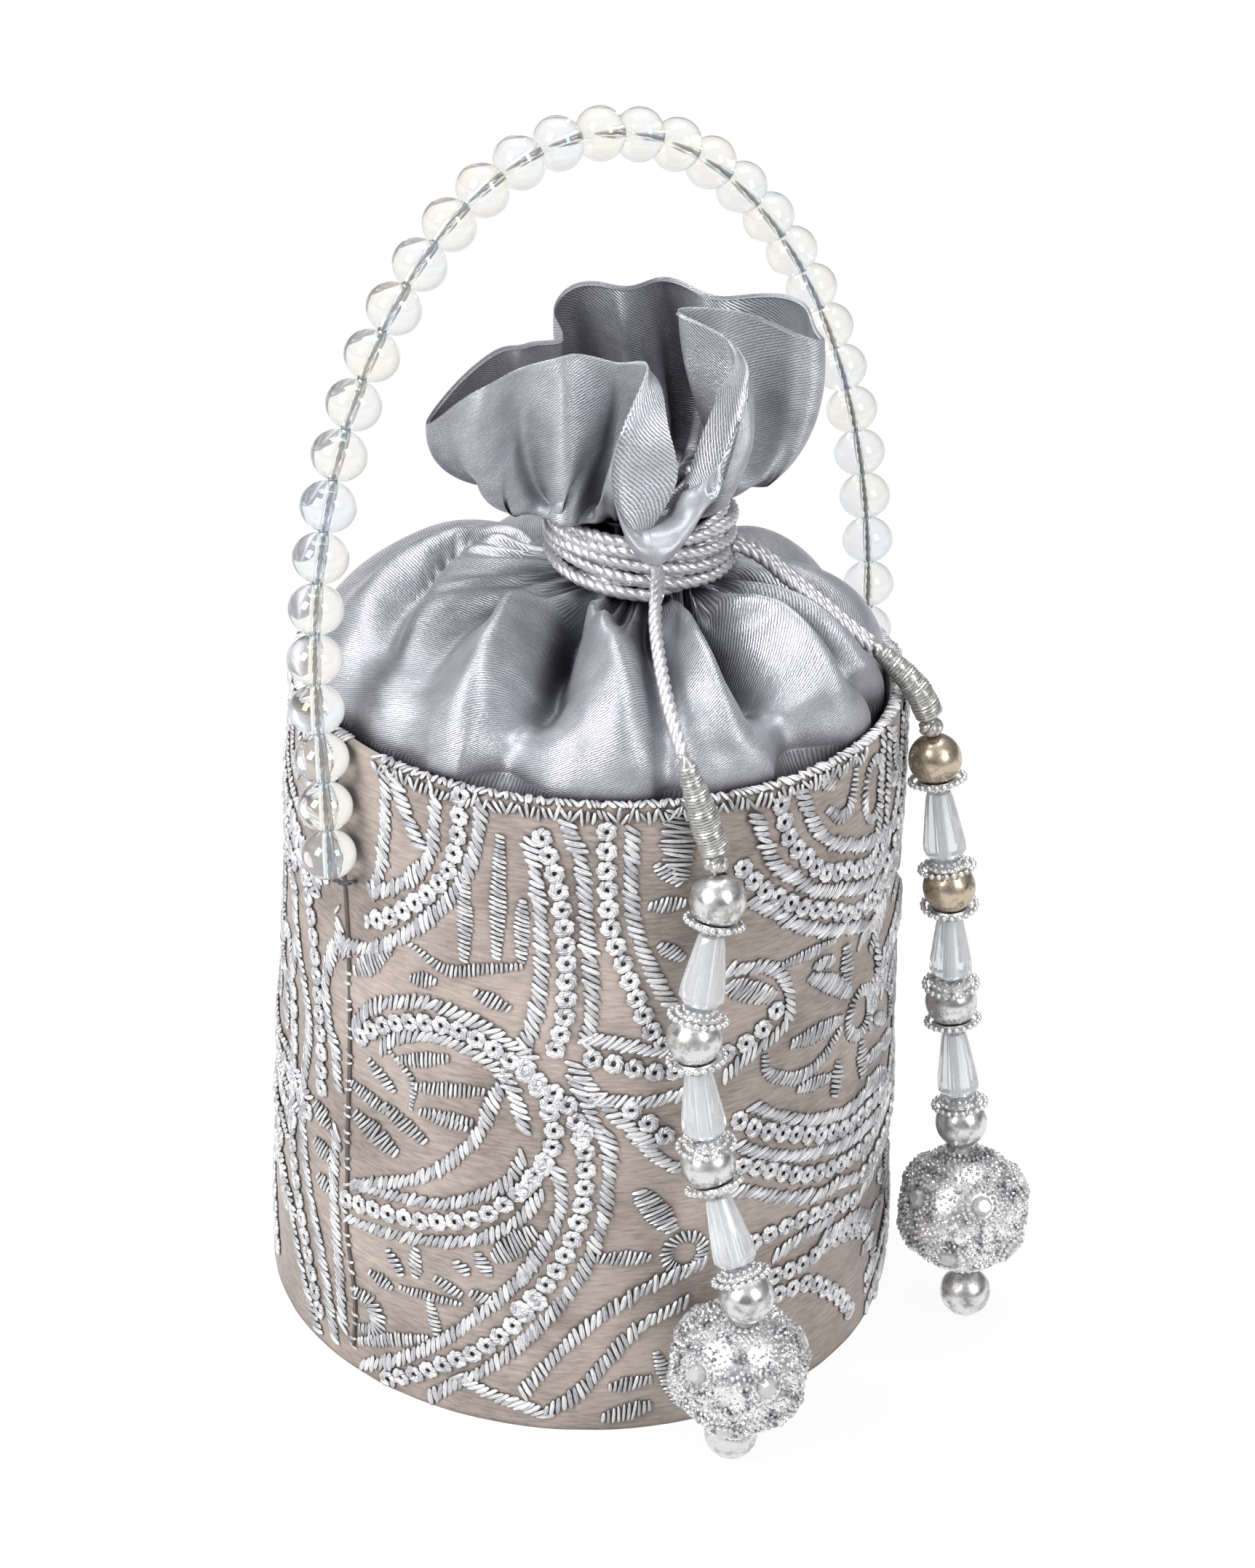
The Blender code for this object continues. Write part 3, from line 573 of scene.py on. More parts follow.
def build_wrap(side, route):
    points = smooth_curve([from_rim(p) for p in route], 2)
    back = (points[0] - points[1]).normalized()
    core = [(points[0] + back * WRAP_TIP_RADIUS * 0.9, 0.3 * WRAP_TIP_RADIUS)]
    core += [(p, wrap_radius(k / (len(points) - 1))) for k, p in enumerate(points)]
    core = [(p, radius - 0.3 * WRAP_THREAD) for p, radius in core]
    fine = even(points, 0.045 * MM)
    winding = []
    for k, (p, run, across) in enumerate(zip(fine, runs(fine), frames_along(fine))):
        radius = wrap_radius(k / len(fine)) - 0.4 * WRAP_THREAD + 0.22 * MM * noise.noise(p * 900)
        winding.append((p + swept(*across, math.tau * run / WRAP_THREAD) * radius, WRAP_THREAD / 2))
    mesh = joined([tube_mesh([core], 2), tube_mesh([winding], 0)])
    name, node = f"{side}_wrapping", f"{side}_wrapped_end"
    piece = dress(mesh, name, WRAP_SILVER, f"{side}_tassel", node=node)
    return points[-1], (points[-1] - points[-2]).normalized(), piece


def build_knot(side, start, along, bead):
    """Loops of thread pulled tight between the wrapped end and the first bead."""
    down = (bead - start).normalized()
    first = start + down * (GAP + WRAP_RADIUS * math.tan(along.angle(down)))
    last = bead - down * (BEAD / 2 + GAP)
    middle = (first + last) / 2
    half = (last - first).length / 2
    lines = []
    for k in range(3):
        axis = swept(*frames_along([first, last])[0], math.radians(60 * k + 15))
        wide, tall = axis * 1.75 * MM, down * (half - KNOT_THREAD_RADIUS)
        sway = down.cross(axis) * 0.6 * MM
        turns = [math.tau * j / 24 for j in range(25)]
        loop = [middle + swept(wide, tall, t) + sway * math.sin(2 * t) for t in turns]
        lines.append([(p, KNOT_THREAD_RADIUS) for p in loop])
    core = [(first, 1.0 * MM), (middle, 1.9 * MM), (last, 1.0 * MM)]
    mesh = joined([tube_mesh(lines, 1), tube_mesh([core], 2)])
    name, node = f"{side}_thread_knot", f"{side}_knot"
    return dress(mesh, name, WRAP_SILVER, f"{side}_tassel", node=node)


print("wrappings of", round(WRAP_THREAD / MM, 2), "mm thread")


# %% [markdown]
# ## The beaded handle
# A thread leaves the drum's wall on each side, and the glass beads stand on it in an arch. Each bead
# is a turned ball with a bore, so the thread shows inside the glass. The glass is painted greyer where
# it is seen at a slant, as painted shade for its dark rim: on a white background that is all that draws
# a clear bead's outline.

# %% Glass beads
HANDLE_TURN = math.radians(40)
HANDLE_LEAN = math.radians(10)
HANDLE_OFFSET = 4.0 * MM
HANDLE_PIVOT_DROP = 26.3 * MM
LEG_HEIGHT = 32.0 * MM
RIGHT_SPREAD = 6.0 * MM
ARCH_RISE = 91.4 * MM
ARCH_SKEW = 0.034
BEAD_PITCH = 9.15 * MM
STRAND_RADIUS = 0.9 * MM
THREAD_RADIUS = 0.55 * MM
# The handle's hinge, and its lower limit, where the beads come closest to the wall.
HANDLE_HINGE = Vector((2.571, -3.064, 105)) * MM
HANDLE_AXIS = Vector((0.766044, 0.642788, 0))
HANDLE_SWING = math.radians(-75)


def handle_point(along, climb):
    """A place in the handle's leaning plane, from its chord's middle."""
    chord = level_way(HANDLE_TURN)
    back = Vector((-chord.y, chord.x, 0))
    origin = UP * (WALL_HEIGHT - HANDLE_PIVOT_DROP) - back * HANDLE_OFFSET
    return origin + chord * along + swept(UP, back, HANDLE_LEAN) * climb


def chord_reach(stand_off, climb=0.0):
    """How far along the chord the wall is, with a stand-off from it."""
    height = WALL_HEIGHT - HANDLE_PIVOT_DROP + climb
    return math.sqrt((wall_radius(min(height, WALL_HEIGHT)) + stand_off) ** 2 - HANDLE_OFFSET**2)


def handle_line():
    """The arch's centre line: up the left leg, over the half ellipse and down the right leg."""
    stand_off = BEAD / 2 + GAP
    foot = chord_reach(stand_off)
    left, right = [], []
    for k in range(12):
        climb = LEG_HEIGHT * k / 12
        left.append((-chord_reach(stand_off, climb), climb))
        right.append((foot + RIGHT_SPREAD * (1 - (1 - k / 12) ** 2), climb))
    left_end, right_end = chord_reach(stand_off, LEG_HEIGHT), foot + RIGHT_SPREAD
    half, middle = (left_end + right_end) / 2, (right_end - left_end) / 2
    arch = []
    for k in range(61):
        turn = math.pi * (1 - k / 60)
        climb = ARCH_RISE * math.sin(turn)
        arch.append((middle + ARCH_SKEW * climb + half * math.cos(turn), LEG_HEIGHT + climb))
    return [handle_point(*p) for p in left + arch + right[::-1]]


def clear_glass():
    """Clear glass with painted shade that greys it at a slant, and a faint film that varies in thickness.
    """
    made, tree, shader = new_material(
        "clear_glass", Roughness=0.01, IOR=1.45, Transmission_Weight=0.94, Thin_Film_IOR=1.6
    )
    slant = add_node(tree, "ShaderNodeLayerWeight", {"Blend": 0.42}).outputs["Facing"]
    patches = noise_at(tree, object_place(tree), 90.0, 1.0)
    warm = ramp(tree, patches, (0.4, "#f1f4fa"), (0.6, "#faf7ee"))
    # Painted shade: the base colour greys towards the rim, where the bead is seen at a slant.
    edge = ramp(tree, slant, (0.3, "#ffffff"), (0.75, "#d3d4d2"), (0.97, "#8d8f8e"))
    tree.links.new(multiplied(tree, warm, edge), shader.inputs["Base Color"])
    tree.links.new(mapped(tree, patches, 0.0, 1.0, 180.0, 330.0), shader.inputs["Thin Film Thickness"])
    return made


def bored_bead(bore, segments, steps):
    """A ball with a bore, as one closed turned section, its hole along Z."""
    radius = BEAD / 2
    open_at = math.asin(bore / radius)
    arc = [open_at + (math.pi - 2 * open_at) * k / steps for k in range(steps + 1)]
    return turned([(radius * math.sin(a), radius * math.cos(a)) for a in arc], segments)


def build_handle():
    """The beads, their thread and its knots, and where the beads go when the handle swings down."""
    line = handle_line()
    length = runs(line)[-1]
    foot = 3 * STRAND_RADIUS
    run = length - 2 * foot
    count = round(run / BEAD_PITCH)
    fine = even(line, run / count / 16)
    centres = []
    for k in range(count):
        at = foot + (k + 0.5) * run / count
        index = min(int(at / (length / (len(fine) - 1))), len(fine) - 2)
        centres.append((fine[index], (fine[index + 1] - fine[index]).normalized()))
    squash = Matrix.Diagonal((1, 1, 0.915, 1))
    beads = copies(bored_bead(0.8 * MM, 32, 18), [aimed(p, d) @ squash for p, d in centres])
    dress(beads, "glass_beads", clear_glass(), "handle", 50, "bead_handle")
    inside, outside = chord_reach(-WALL_THICKNESS - 2.0 * MM), chord_reach(2.6 * MM)
    ends = [handle_point(-inside, 0), handle_point(inside, 0)]
    leave = [handle_point(-outside, 0.2 * MM), handle_point(outside, 0.2 * MM)]
    route = even([ends[0], leave[0], *fine[4:-4], leave[1], ends[1]], 0.6 * MM)
    dark = silver_thread("bead_thread", "#a9a9ad", "#5e5f66")
    thread = rope(route, 2 * THREAD_RADIUS, 2.4 * MM, strands=2)
    dress(thread, "handle_thread", dark, "handle")
    knots = []
    for end in ends:
        bm = bmesh.new()
        bmesh.ops.create_icosphere(bm, subdivisions=3, radius=2.0 * MM, matrix=Matrix.Translation(end))
        for v in bm.verts:
            v.co += (v.co - end) * 0.25 * noise.noise(v.co * 700)
        knots.append(mesh_of(bm))
    dress(joined(knots), "handle_thread_knots", WRAP_SILVER, "handle")
    print("handle:", count, "beads")
    swing = Matrix.Translation(HANDLE_HINGE) @ Matrix.Rotation(HANDLE_SWING, 4, HANDLE_AXIS)
    return [swing @ (p - HANDLE_HINGE) for p, _ in centres]


SWUNG_BEADS = build_handle()

# %% [markdown]
# ## The tassels
# Each tassel is a string of silver beads, each held by granulated caps, with fluted cones between
# them and a ball set with stones near the end. Cast granules and glitter are hundreds of tiny balls
# here too, because their separate highlights make the sparkle.

# %% Tassel materials


def worn_silver(name, base, stain, amount=0.5):
    """Silver coating with dull blotches, as on cheap cast beads."""
    made, tree, shader = new_material(name, Metallic=1.0)
    blotch = noise_at(tree, object_place(tree), 420.0, 6.0, 0.65)
    tone = ramp(tree, blotch, (0.36, stain), (0.36 + 0.3 * amount, base))
    tree.links.new(tone, shader.inputs["Base Color"])
    tree.links.new(mapped(tree, blotch, 0.35, 0.6, 0.5, 0.22), shader.inputs["Roughness"])
    relief(tree, shader, blotch, 0.25, 0.1 * MM)
    return made


def milky_cone():
    """Clear acrylic with a little haze."""
    made, tree, shader = new_material(
        "clear_acrylic", Base_Color=linear("#f4f6f8"), Roughness=0.12, IOR=1.49, Transmission_Weight=0.75
    )
    relief(tree, shader, noise_at(tree, object_place(tree), 300.0, 3.0), 0.2, 0.2 * MM)
    return made


SILVER_BEAD = worn_silver("silver_coated_bead", "#e2e2e2", "#a3a19d")
CHAMPAGNE_BEAD = worn_silver("champagne_coated_bead", "#cbbda8", "#8d8072")
CAP_SILVER = worn_silver("silver_granule", "#ececec", "#a2a2a4", 0.4)
GLITTER = worn_silver("silver_glitter", "#f2f2f2", "#85858a")
CONE_CLEAR = milky_cone()
STONE, _, _ = new_material(
    "clear_stone", Base_Color=linear("#dcdcda"), Roughness=0.08, IOR=1.9, Transmission_Weight=0.55
)

# %% Tassel pieces
# Points that the five silver beads of each tassel hang by, in mm as above.
FRONT_BEAD_POINTS = [
    (22.7, -60.3, -15.6), (19.8, -65.5, -40.5), (23.4, -66.6, -65.8), (31.4, -74.2, -89.2),
    (30.5, -67.3, -125.9),
]
RIGHT_BEAD_POINTS = [
    (63.2, -10.6, -12.2), (67.8, -14.2, -38.2), (70.4, -13.4, -64.4), (74.2, -17.2, -89.9),
    (77.6, -22.2, -126.0),
]
BEAD_TO_CONE = BEAD / 2 + CAP_GAP + CAP_WALL + GAP
BALL_GAP = 1.0 * MM
# Rings of granules: tilt from the cap's axis, size in mm, how many, and place in the cap's wall.
CAP_ROWS = ((0.9, 0.58, 22, 1.2), (0.68, 0.46, 18, 0.75), (0.46, 0.4, 13, 0.6))
# The cone's section from its narrow end: radius in mm and share of the length.
CONE_RINGS = (
    (0.9, 0.5), (2.3, 0.5), (2.6, 0.42), (3.3, 0.1), (4.1, -0.3), (4.1, -0.42), (3.3, -0.5), (0.9, -0.5),
)
# The two rings of a medallion: radius and grain size in mm, how many grains, and their lift in mm.
MEDALLION = ((3.0, 0.55, 16, 0.5), (4.1, 0.42, 26, 0.15))
BALL_GRAINS = 1500


def string_centres(bead_points):
    """The silver beads' centres, each a fixed step from the last."""
    aims = [from_rim(p) for p in bead_points]
    steps = [2 * BEAD_TO_CONE + CONE_LENGTH] * 3 + [BEAD + BALL_DIAMETER + 2 * BALL_GAP]
    centres = [aims[0]]
    for a, b, step in zip(aims, aims[1:], steps):
        centres.append(centres[-1] + (b - a).normalized() * step)
    return centres


def grain(radius, detail=1):
    bm = bmesh.new()
    bmesh.ops.create_icosphere(bm, subdivisions=detail, radius=radius)
    return bm


def cap_piece():
    """A cup that hugs a bead on its +Z side, with rings of granules round its edge."""
    inner, outer = BEAD / 2 + CAP_GAP * 0.6, BEAD / 2 + CAP_GAP + CAP_WALL * 0.6
    profile = []
    for radius, turns in ((outer, (0.16, 0.36, 0.56, 0.74)), (inner, (0.74, 0.5, 0.16))):
        profile += [(radius * math.sin(t), radius * math.cos(t)) for t in turns]
    rings = [mesh_of(turned(profile, 28))]
    for tilt, size, count, out in CAP_ROWS:
        reach = BEAD / 2 + CAP_GAP + CAP_WALL * out
        ways = [level_way(math.tau * (k + 0.5 * (count % 4)) / count) for k in range(count)]
        places = [Matrix.Translation(swept(UP, way, tilt) * reach) for way in ways]
        rings.append(copies(grain(size * MM, 2), places))
    return joined(rings)


def cone_piece():
    """A fluted cone, narrow at +Z: a turned section whose ring alternates ridge and groove."""
    bm = turned([(radius * MM, share * CONE_LENGTH) for radius, share in CONE_RINGS], 24)
    for v in bm.verts:
        if v.co.xy.length > 1.5 * MM:
            v.co.xy *= 1 - 0.075 * (0.5 + 0.5 * math.cos(8 * math.atan2(v.co.y, v.co.x)))
    return mesh_of(bm)


def ball_pieces(seed):
    """The ball's core, its grains and its stones, with a ringed medallion at each corner."""
    picks = random.Random(seed)
    radius = BALL_DIAMETER / 2
    whole = grain(1)
    corners = [v.co.normalized() for v in whole.verts]
    whole.free()
    grains, shades = [], []
    for corner in corners:
        side = corner.orthogonal().normalized()
        for ring, size, count, lift in MEDALLION:
            for k in range(count):
                way = swept(side, corner.cross(side), math.tau * k / count)
                spot = (corner * radius + way * ring * MM).normalized() * (radius + lift * MM)
                grains.append(Matrix.Translation(spot) @ Matrix.Scale(size * MM, 4))
                shades.append(picks.random())
    for k in range(BALL_GRAINS):
        level = 1 - 2 * (k + 0.5) / BALL_GRAINS
        turn = k * math.pi * (3 - math.sqrt(5))
        flat = math.sqrt(1 - level * level)
        spot = Vector((flat * math.cos(turn), flat * math.sin(turn), level))
        spot = (spot + Vector([picks.uniform(-0.02, 0.02) for _ in range(3)])).normalized()
        if min((spot - c).length for c in corners) * radius > 4.3 * MM:
            size = picks.uniform(0.28, 0.5)
            angle, axis = picks.uniform(0, 3), Vector([picks.uniform(-1, 1) for _ in range(3)])
            place = Matrix.Translation(spot * (radius - 0.1 * MM)) @ Matrix.Rotation(angle, 4, axis)
            grains.append(place @ Matrix.Scale(size * MM, 4))
            shades.append(picks.random())
    stone = bmesh.new()
    wide, narrow = 2.1 * MM, 1.2 * MM
    bmesh.ops.create_cone(stone, cap_ends=True, segments=8, radius1=wide, radius2=narrow, depth=narrow)
    stones = [aimed(corner * (radius + 0.3 * MM), corner) for corner in corners]
    core = mesh_of(grain(radius - 0.35 * MM, 4))
    return core, copies(grain(1), grains, shades), copies(stone, stones)


def build_tassel(side, wrap_route, bead_points, upper_material, seed):
    """One tassel, from its wrapped end down to its ball."""
    body = f"{side}_tassel"

    def thread_on(mesh, place, name, material, smooth, node=None):
        mesh = mesh.copy()
        mesh.transform(place)
        dress(mesh, f"{side}_{name}", material, body, smooth, node and f"{side}_{node}")

    end, along, wrap = build_wrap(side, wrap_route)
    centres = string_centres(bead_points)
    knot = build_knot(side, end, along, centres[0])
    bead, cap, cone = mesh_of(bored_bead(0.9 * MM, 36, 22)), cap_piece(), cone_piece()
    for k, centre in enumerate(centres):
        place = aimed(centre, centres[max(k - 1, 0)] - centres[min(k + 1, len(centres) - 1)])
        material = upper_material if k < 2 else SILVER_BEAD
        thread_on(bead, place, f"bead_{k + 1}", material, 50, f"silver_bead_{k + 1}")
    for k, (above, below) in enumerate(zip(centres, centres[1:-1])):
        fall = (below - above).normalized()
        for number, place in ((2 * k + 1, aimed(above, fall)), (2 * k + 2, aimed(below, -fall))):
            thread_on(cap, place, f"granule_cap_{number}", CAP_SILVER, 60, f"cap_{number}")
        place = aimed((above + below) / 2, -fall)
        thread_on(cone, place, f"fluted_cone_{k + 1}", CONE_CLEAR, 25, f"cone_{k + 1}")
    place = aimed((centres[-2] + centres[-1]) / 2, centres[-2] - centres[-1])
    core, grains, stones = ball_pieces(seed)
    thread_on(core, place, "ball_core", GLITTER, 60, "ball")
    thread_on(grains, place, "ball_grains", GLITTER, 20)
    thread_on(stones, place, "ball_stones", STONE, 20)
    string = tube_mesh([[(p, 0.5 * MM) for p in (end - along * 2 * MM, *centres)]], 1)
    dress(string, f"{side}_string", WRAP_SILVER, body)
    return wrap, knot


front_wrap, front_knot = build_tassel("front", FRONT_WRAP_ROUTE, FRONT_BEAD_POINTS, SILVER_BEAD, 3)
right_wrap, right_knot = build_tassel("right", RIGHT_WRAP_ROUTE, RIGHT_BEAD_POINTS, CHAMPAGNE_BEAD, 5)
print("tassels of", len(FRONT_BEAD_POINTS), "silver beads each")

# %% [markdown]
# ## The satin top
# One tube of satin is tucked inside the drum's rim, domes up to the drawn neck and opens into the
# ruffle. A grid is laid out flat, closed into a tube and moved to its place column by column. The
# folds are traced lines, each with its own depth, so they bend as cloth does. A cloth
# simulation would make folds too, but not the ones in the photo. Along part of the edge a strip is
# turned in, and a second small tube of pleats closes the ruffle's bottom where the cord gathers it.

# %% Satin
SATIN_COLUMNS = 720
TUCK_ROWS = 2
DOME_ROWS = 46
DOME_TOP = 84
NECK_ROWS = 5
RUFFLE_ROWS = 56
TURN_ROWS = 8
HEM = 0.45 * MM
SATIN_TUCK = 13 * MM
NECK_SPARE = 1.6 * MM
GATHER_COLUMNS = 240
GATHER_ROWS = 12
PLEAT_DEPTH = 3.4
# Folds of the dome: depth in mm, width in degrees, then (share from neck to rim, angle) points.
# A negative depth is a valley.
DOME_FOLDS = [
    (-12.0, 7.2, (0.1, -125), (0.28, -116), (0.64, -106), (0.83, -105), (1, -108)),
    (4.4, 5.6, (0.1, -148), (0.48, -127), (0.75, -120), (0.92, -118), (1, -117)),
    (4.4, 6.0, (0.09, -116), (0.27, -100), (0.48, -91), (0.74, -86), (1, -84)),
    (-4.8, 4.0, (0.1, -84), (0.49, -78), (1, -75)),
    (4.6, 4.4, (0.08, -68), (0.26, -65), (0.44, -65), (0.73, -64), (0.93, -61), (1, -56)),
    (-13.0, 8.2, (0.1, -52), (0.44, -52), (0.69, -51), (0.88, -49), (1, -45)),
    (4.2, 4.2, (0.02, -40), (0.26, -38), (0.44, -32), (0.66, -33), (0.9, -33), (1, -28)),
    (-6.0, 4.0, (0.1, -26), (0.3, -24), (0.55, -23), (0.77, -24), (0.91, -24), (1, -18)),
    (1.6, 4.0, (0.09, -18), (0.28, -16), (0.45, -15), (0.73, -17), (0.9, -17), (1, -10)),
    (-7.0, 6.5, (0.08, 4), (0.28, 2), (0.48, 1), (0.71, -5), (0.89, -7), (1, -4)),
    (-3.8, 7.0, (0.2, -152), (0.48, -146), (0.68, -138), (0.87, -133), (1, -128)),
    (-4.2, 8.0, (0.3, 141), (0.42, 154), (0.47, 167), (0.55, 184), (0.8, 208), (1, 214)),
    (2.2, 9.0, (0.3, 152), (0.51, 158), (0.63, 170), (0.75, 186), (1, 200)),
    (-4.6, 8.0, (0, 34), (1, 26)),
    (-5.4, 8.0, (0, 64), (1, 60)),
    (-4.6, 8.0, (0, 96), (1, 92)),
    (-5.4, 8.0, (0, 126), (1, 122)),
]
# The ruffle's edge: angle at the neck, the edge's place from the neck's centre, how far the cloth
# leaves outwards and upwards, how it arrives, and where a strip turned in at the edge ends.
RUFFLE_EDGE = [
    (-90, 2.9, -26.2, 32.2, 8, 6, -5, 0, 0, 0),
    (-78, 7.4, -26.4, 36, 8, 6, -4, 0, 0, 0),
    (-67, 10.8, -23.6, 41, 7, 8, -2, -2, 1, 0),
    (-57, 14, -22, 48, 8, 5, 1.9, -6.0, 4, -1),
    (-46, 17.3, -14, 59.7, 7, 8, 13, -4.5, 3.5, -2),
    (-36, 14.6, -4.5, 65.4, 7, 8, 16, 0, 0, 0),
    (-26, 5.2, 1, 69, 6, 9, 18, 0, 0, 0),
    (-16, 14.8, 4.6, 67.9, 9, 6, 18, 0, 0, 0),
    (-6, 26.2, 4, 64.6, 12, 3, 16, 0, 0, 0),
    (6, 31.6, 9, 62, 13, 2, 17, 0, 0, 0),
    (18, 29.5, 15, 65.3, 12, 2, 18, 0, 0, 0),
    (32, 24.5, 18.5, 66.6, 11, 3, 18, 0, 0, 0),
    (48, 13.6, 20, 66, 9, 4, 17, 0, 0, 0),
    (64, 5, 20.5, 67.3, 9, 4, 17, 0, 0, 0),
    (80, -3, 18.5, 67.7, 9, 4, 17, 0, 0, 0),
    (96, -11, 15.5, 68.6, 10, 4, 18, 0, 0, 0),
    (110, -17, 12, 64.7, 11, 3, 17, 0, 0, 0),
    (122, -15.6, 7.4, 60.8, 9, 4, 16, 0, 0, 0),
    (134, -22, 6, 60.3, 10, 2, 15, 0, 0, 0),
    (146, -27, 3.6, 59.6, 14, 0, 14, 0, 0, 0),
    (159, -34, -1, 54.6, 16, -2, 13, 0, 0, 0),
    (172, -39.1, -7, 48.7, 18, -4, 11, 0, 0, 0),
    (187, -30, -12.4, 57.4, 19, -5, 15, 0, 0, 0),
    (200, -21.5, -13.6, 62.4, 18, -5, 17, 0, 0, 0),
    (212, -13.5, -12.4, 65.3, 15, -6, 18, 0, 0, 0),
    (223, -5.6, -13.1, 63.5, 13, -6, 16, 0, 0, 0),
    (234, -0.1, -13.5, 64, 13, -4, 10, 1.5, 1, -2),
    (243, -4.1, -20.8, 54.4, 12, -1, 2, 8, 2.5, 1),
    (252, -5.1, -23, 44.5, 8, 8, -3, 11, 3, 1),
    (261, -1.6, -25.4, 34.6, 8, 6, -5, 2, 1, 0),
]
# Folds of the ruffle: depth in mm, width in degrees, then (share from neck to edge, angle) points.
RUFFLE_FOLDS = [
    (3.8, 6.0, (0.3, 224), (0.7, 215), (1, 209)),
    (-4.8, 6.0, (0.3, 236), (0.7, 228), (1, 223)),
    (-3.5, 6.0, (0.3, 212), (0.7, 203), (1, 198)),
    (2.6, 7.0, (0.3, 199), (0.7, 189), (1, 186)),
    (-2.2, 6.0, (0.3, 178), (1, 178)),
    (2.6, 6.0, (0.3, -60), (0.6, -52), (1, -42)),
    (-3.2, 6.0, (0.3, -68), (0.6, -62), (1, -56)),
    (-3.5, 7.0, (0.3, -15), (1, -11)),
    (2.9, 6.0, (0.3, -2), (1, 1)),
    (-2.6, 6.0, (0.3, 10), (1, 12)),
    (-4.8, 8.0, (0.2, 44), (1, 50)),
    (5.4, 7.0, (0.2, 62), (1, 68)),
    (-5.1, 8.0, (0.2, 84), (1, 86)),
    (3.8, 6.0, (0.2, 100), (1, 102)),
    (-3.2, 7.0, (0.2, 140), (1, 138)),
]


def satin_cloth():
    """Woven satin: bright along the floats of its threads, with a fine diagonal twill and painted shade in
    its folds.
    """
    made, tree, shader = new_material("grey_satin", Metallic=0.56, Roughness=0.33, Anisotropic=0.5)
    flat = add_node(tree, "ShaderNodeUVMap", uv_map="flat").outputs["UV"]
    slanting = add_node(tree, "ShaderNodeMapping", {"Vector": flat, "Rotation": (0, 0, math.radians(58))})
    wave = {"Scale": 570.0, "Distortion": 3.0, "Detail": 2.0, "Detail Scale": 3.0}
    twill = add_node(tree, "ShaderNodeTexWave", {"Vector": slanting.outputs[0], **wave}).outputs["Fac"]
    threads = maths(tree, "MULTIPLY", twill, noise_at(tree, flat, 160.0, 4.0))
    tone = ramp(tree, threads, (0.0, "#83848c"), (0.6, "#cbcbd1"))
    # Painted shade: the colour falls to a dark grey where cloth stands close by, in the folds' valleys.
    tree.links.new(painted_gap_shade(tree, tone, 7 * MM, "#60616e"), shader.inputs["Base Color"])
    relief(tree, shader, twill, 0.4, 0.12 * MM)
    tangent = add_node(tree, "ShaderNodeTangent", direction_type="UV_MAP", uv_map="flat")
    tree.links.new(tangent.outputs["Tangent"], shader.inputs["Tangent"])
    return made


def edge_value(position, column):
    """A column of the ruffle's edge as a smooth closed curve, read at a position, in metres."""
    i = math.floor(position)
    near = [RUFFLE_EDGE[(i + k) % len(RUFFLE_EDGE)][column] for k in (-1, 0, 1, 2)]
    return catmull(*near, position - i) * MM


def neck_angle(position):
    n = len(RUFFLE_EDGE)
    i = int(math.floor(position))
    start = RUFFLE_EDGE[i % n][0]
    end = RUFFLE_EDGE[(i + 1) % n][0] + (360 if i % n == n - 1 else 0)
    return start + (end - start) * (position - i)


def fold_height(folds, degrees, share):
    """How far a set of folds lifts or sinks the cloth at an angle and a share of its way, in mm."""
    total = 0.0
    for depth, width, *line in folds:
        shares, angles = [p[0] for p in line], [p[1] for p in line]
        middle = float(np.interp(share, shares, angles))
        away = (degrees - middle + 180) % 360 - 180
        strength = math.exp(-((away / width) ** 2))
        if share < shares[0]:
            strength *= max(0, 1 - (shares[0] - share) / 0.1)
        total += depth * strength
    return total


def pleats(degrees, share):
    """Small pleats that run out of the drawn neck, in mm."""
    wander = 9 * noise.noise(Vector((degrees * 0.045, 1.7, 0)))
    wave = math.cos(math.radians(degrees * 24) + wander)
    return -PLEAT_DEPTH * (0.5 - 0.5 * wave) * max(0.0, 1 - share / 0.6) ** 1.8


def dome_point(degrees, climb):
    """A point of the dome at an angle and a climb from 0 at the rim to 90 degrees at the neck."""
    slope = math.radians(climb)
    share = math.cos(slope) ** (2 / DOME_FULLNESS)
    lift = fold_height(DOME_FOLDS, degrees, share)
    rim_fade = 1 - share**6
    kept = 0.1 if lift > 0 else 0.62
    sink = lift * MM * (kept + (1 - kept) * rim_fade) * min(1, 0.25 + 2.4 * share)
    sink += pleats(degrees, share) * MM
    reach = NECK_RADIUS + (SATIN_RADIUS - NECK_RADIUS) * share + sink * (0.35 + 0.4 * math.cos(slope) ** 2)
    rise = DOME_RISE * math.sin(slope) + sink * min(1, 0.3 + math.sin(slope)) * rim_fade
    centre = Vector((NECK_OFFSET * (1 - share), 0, WALL_HEIGHT + rise))
    return centre + level_way(math.radians(degrees)) * reach


def bezier(a, b, c, d, t):
    s = 1 - t
    return a * s**3 + b * 3 * s * s * t + c * 3 * s * t * t + d * t**3


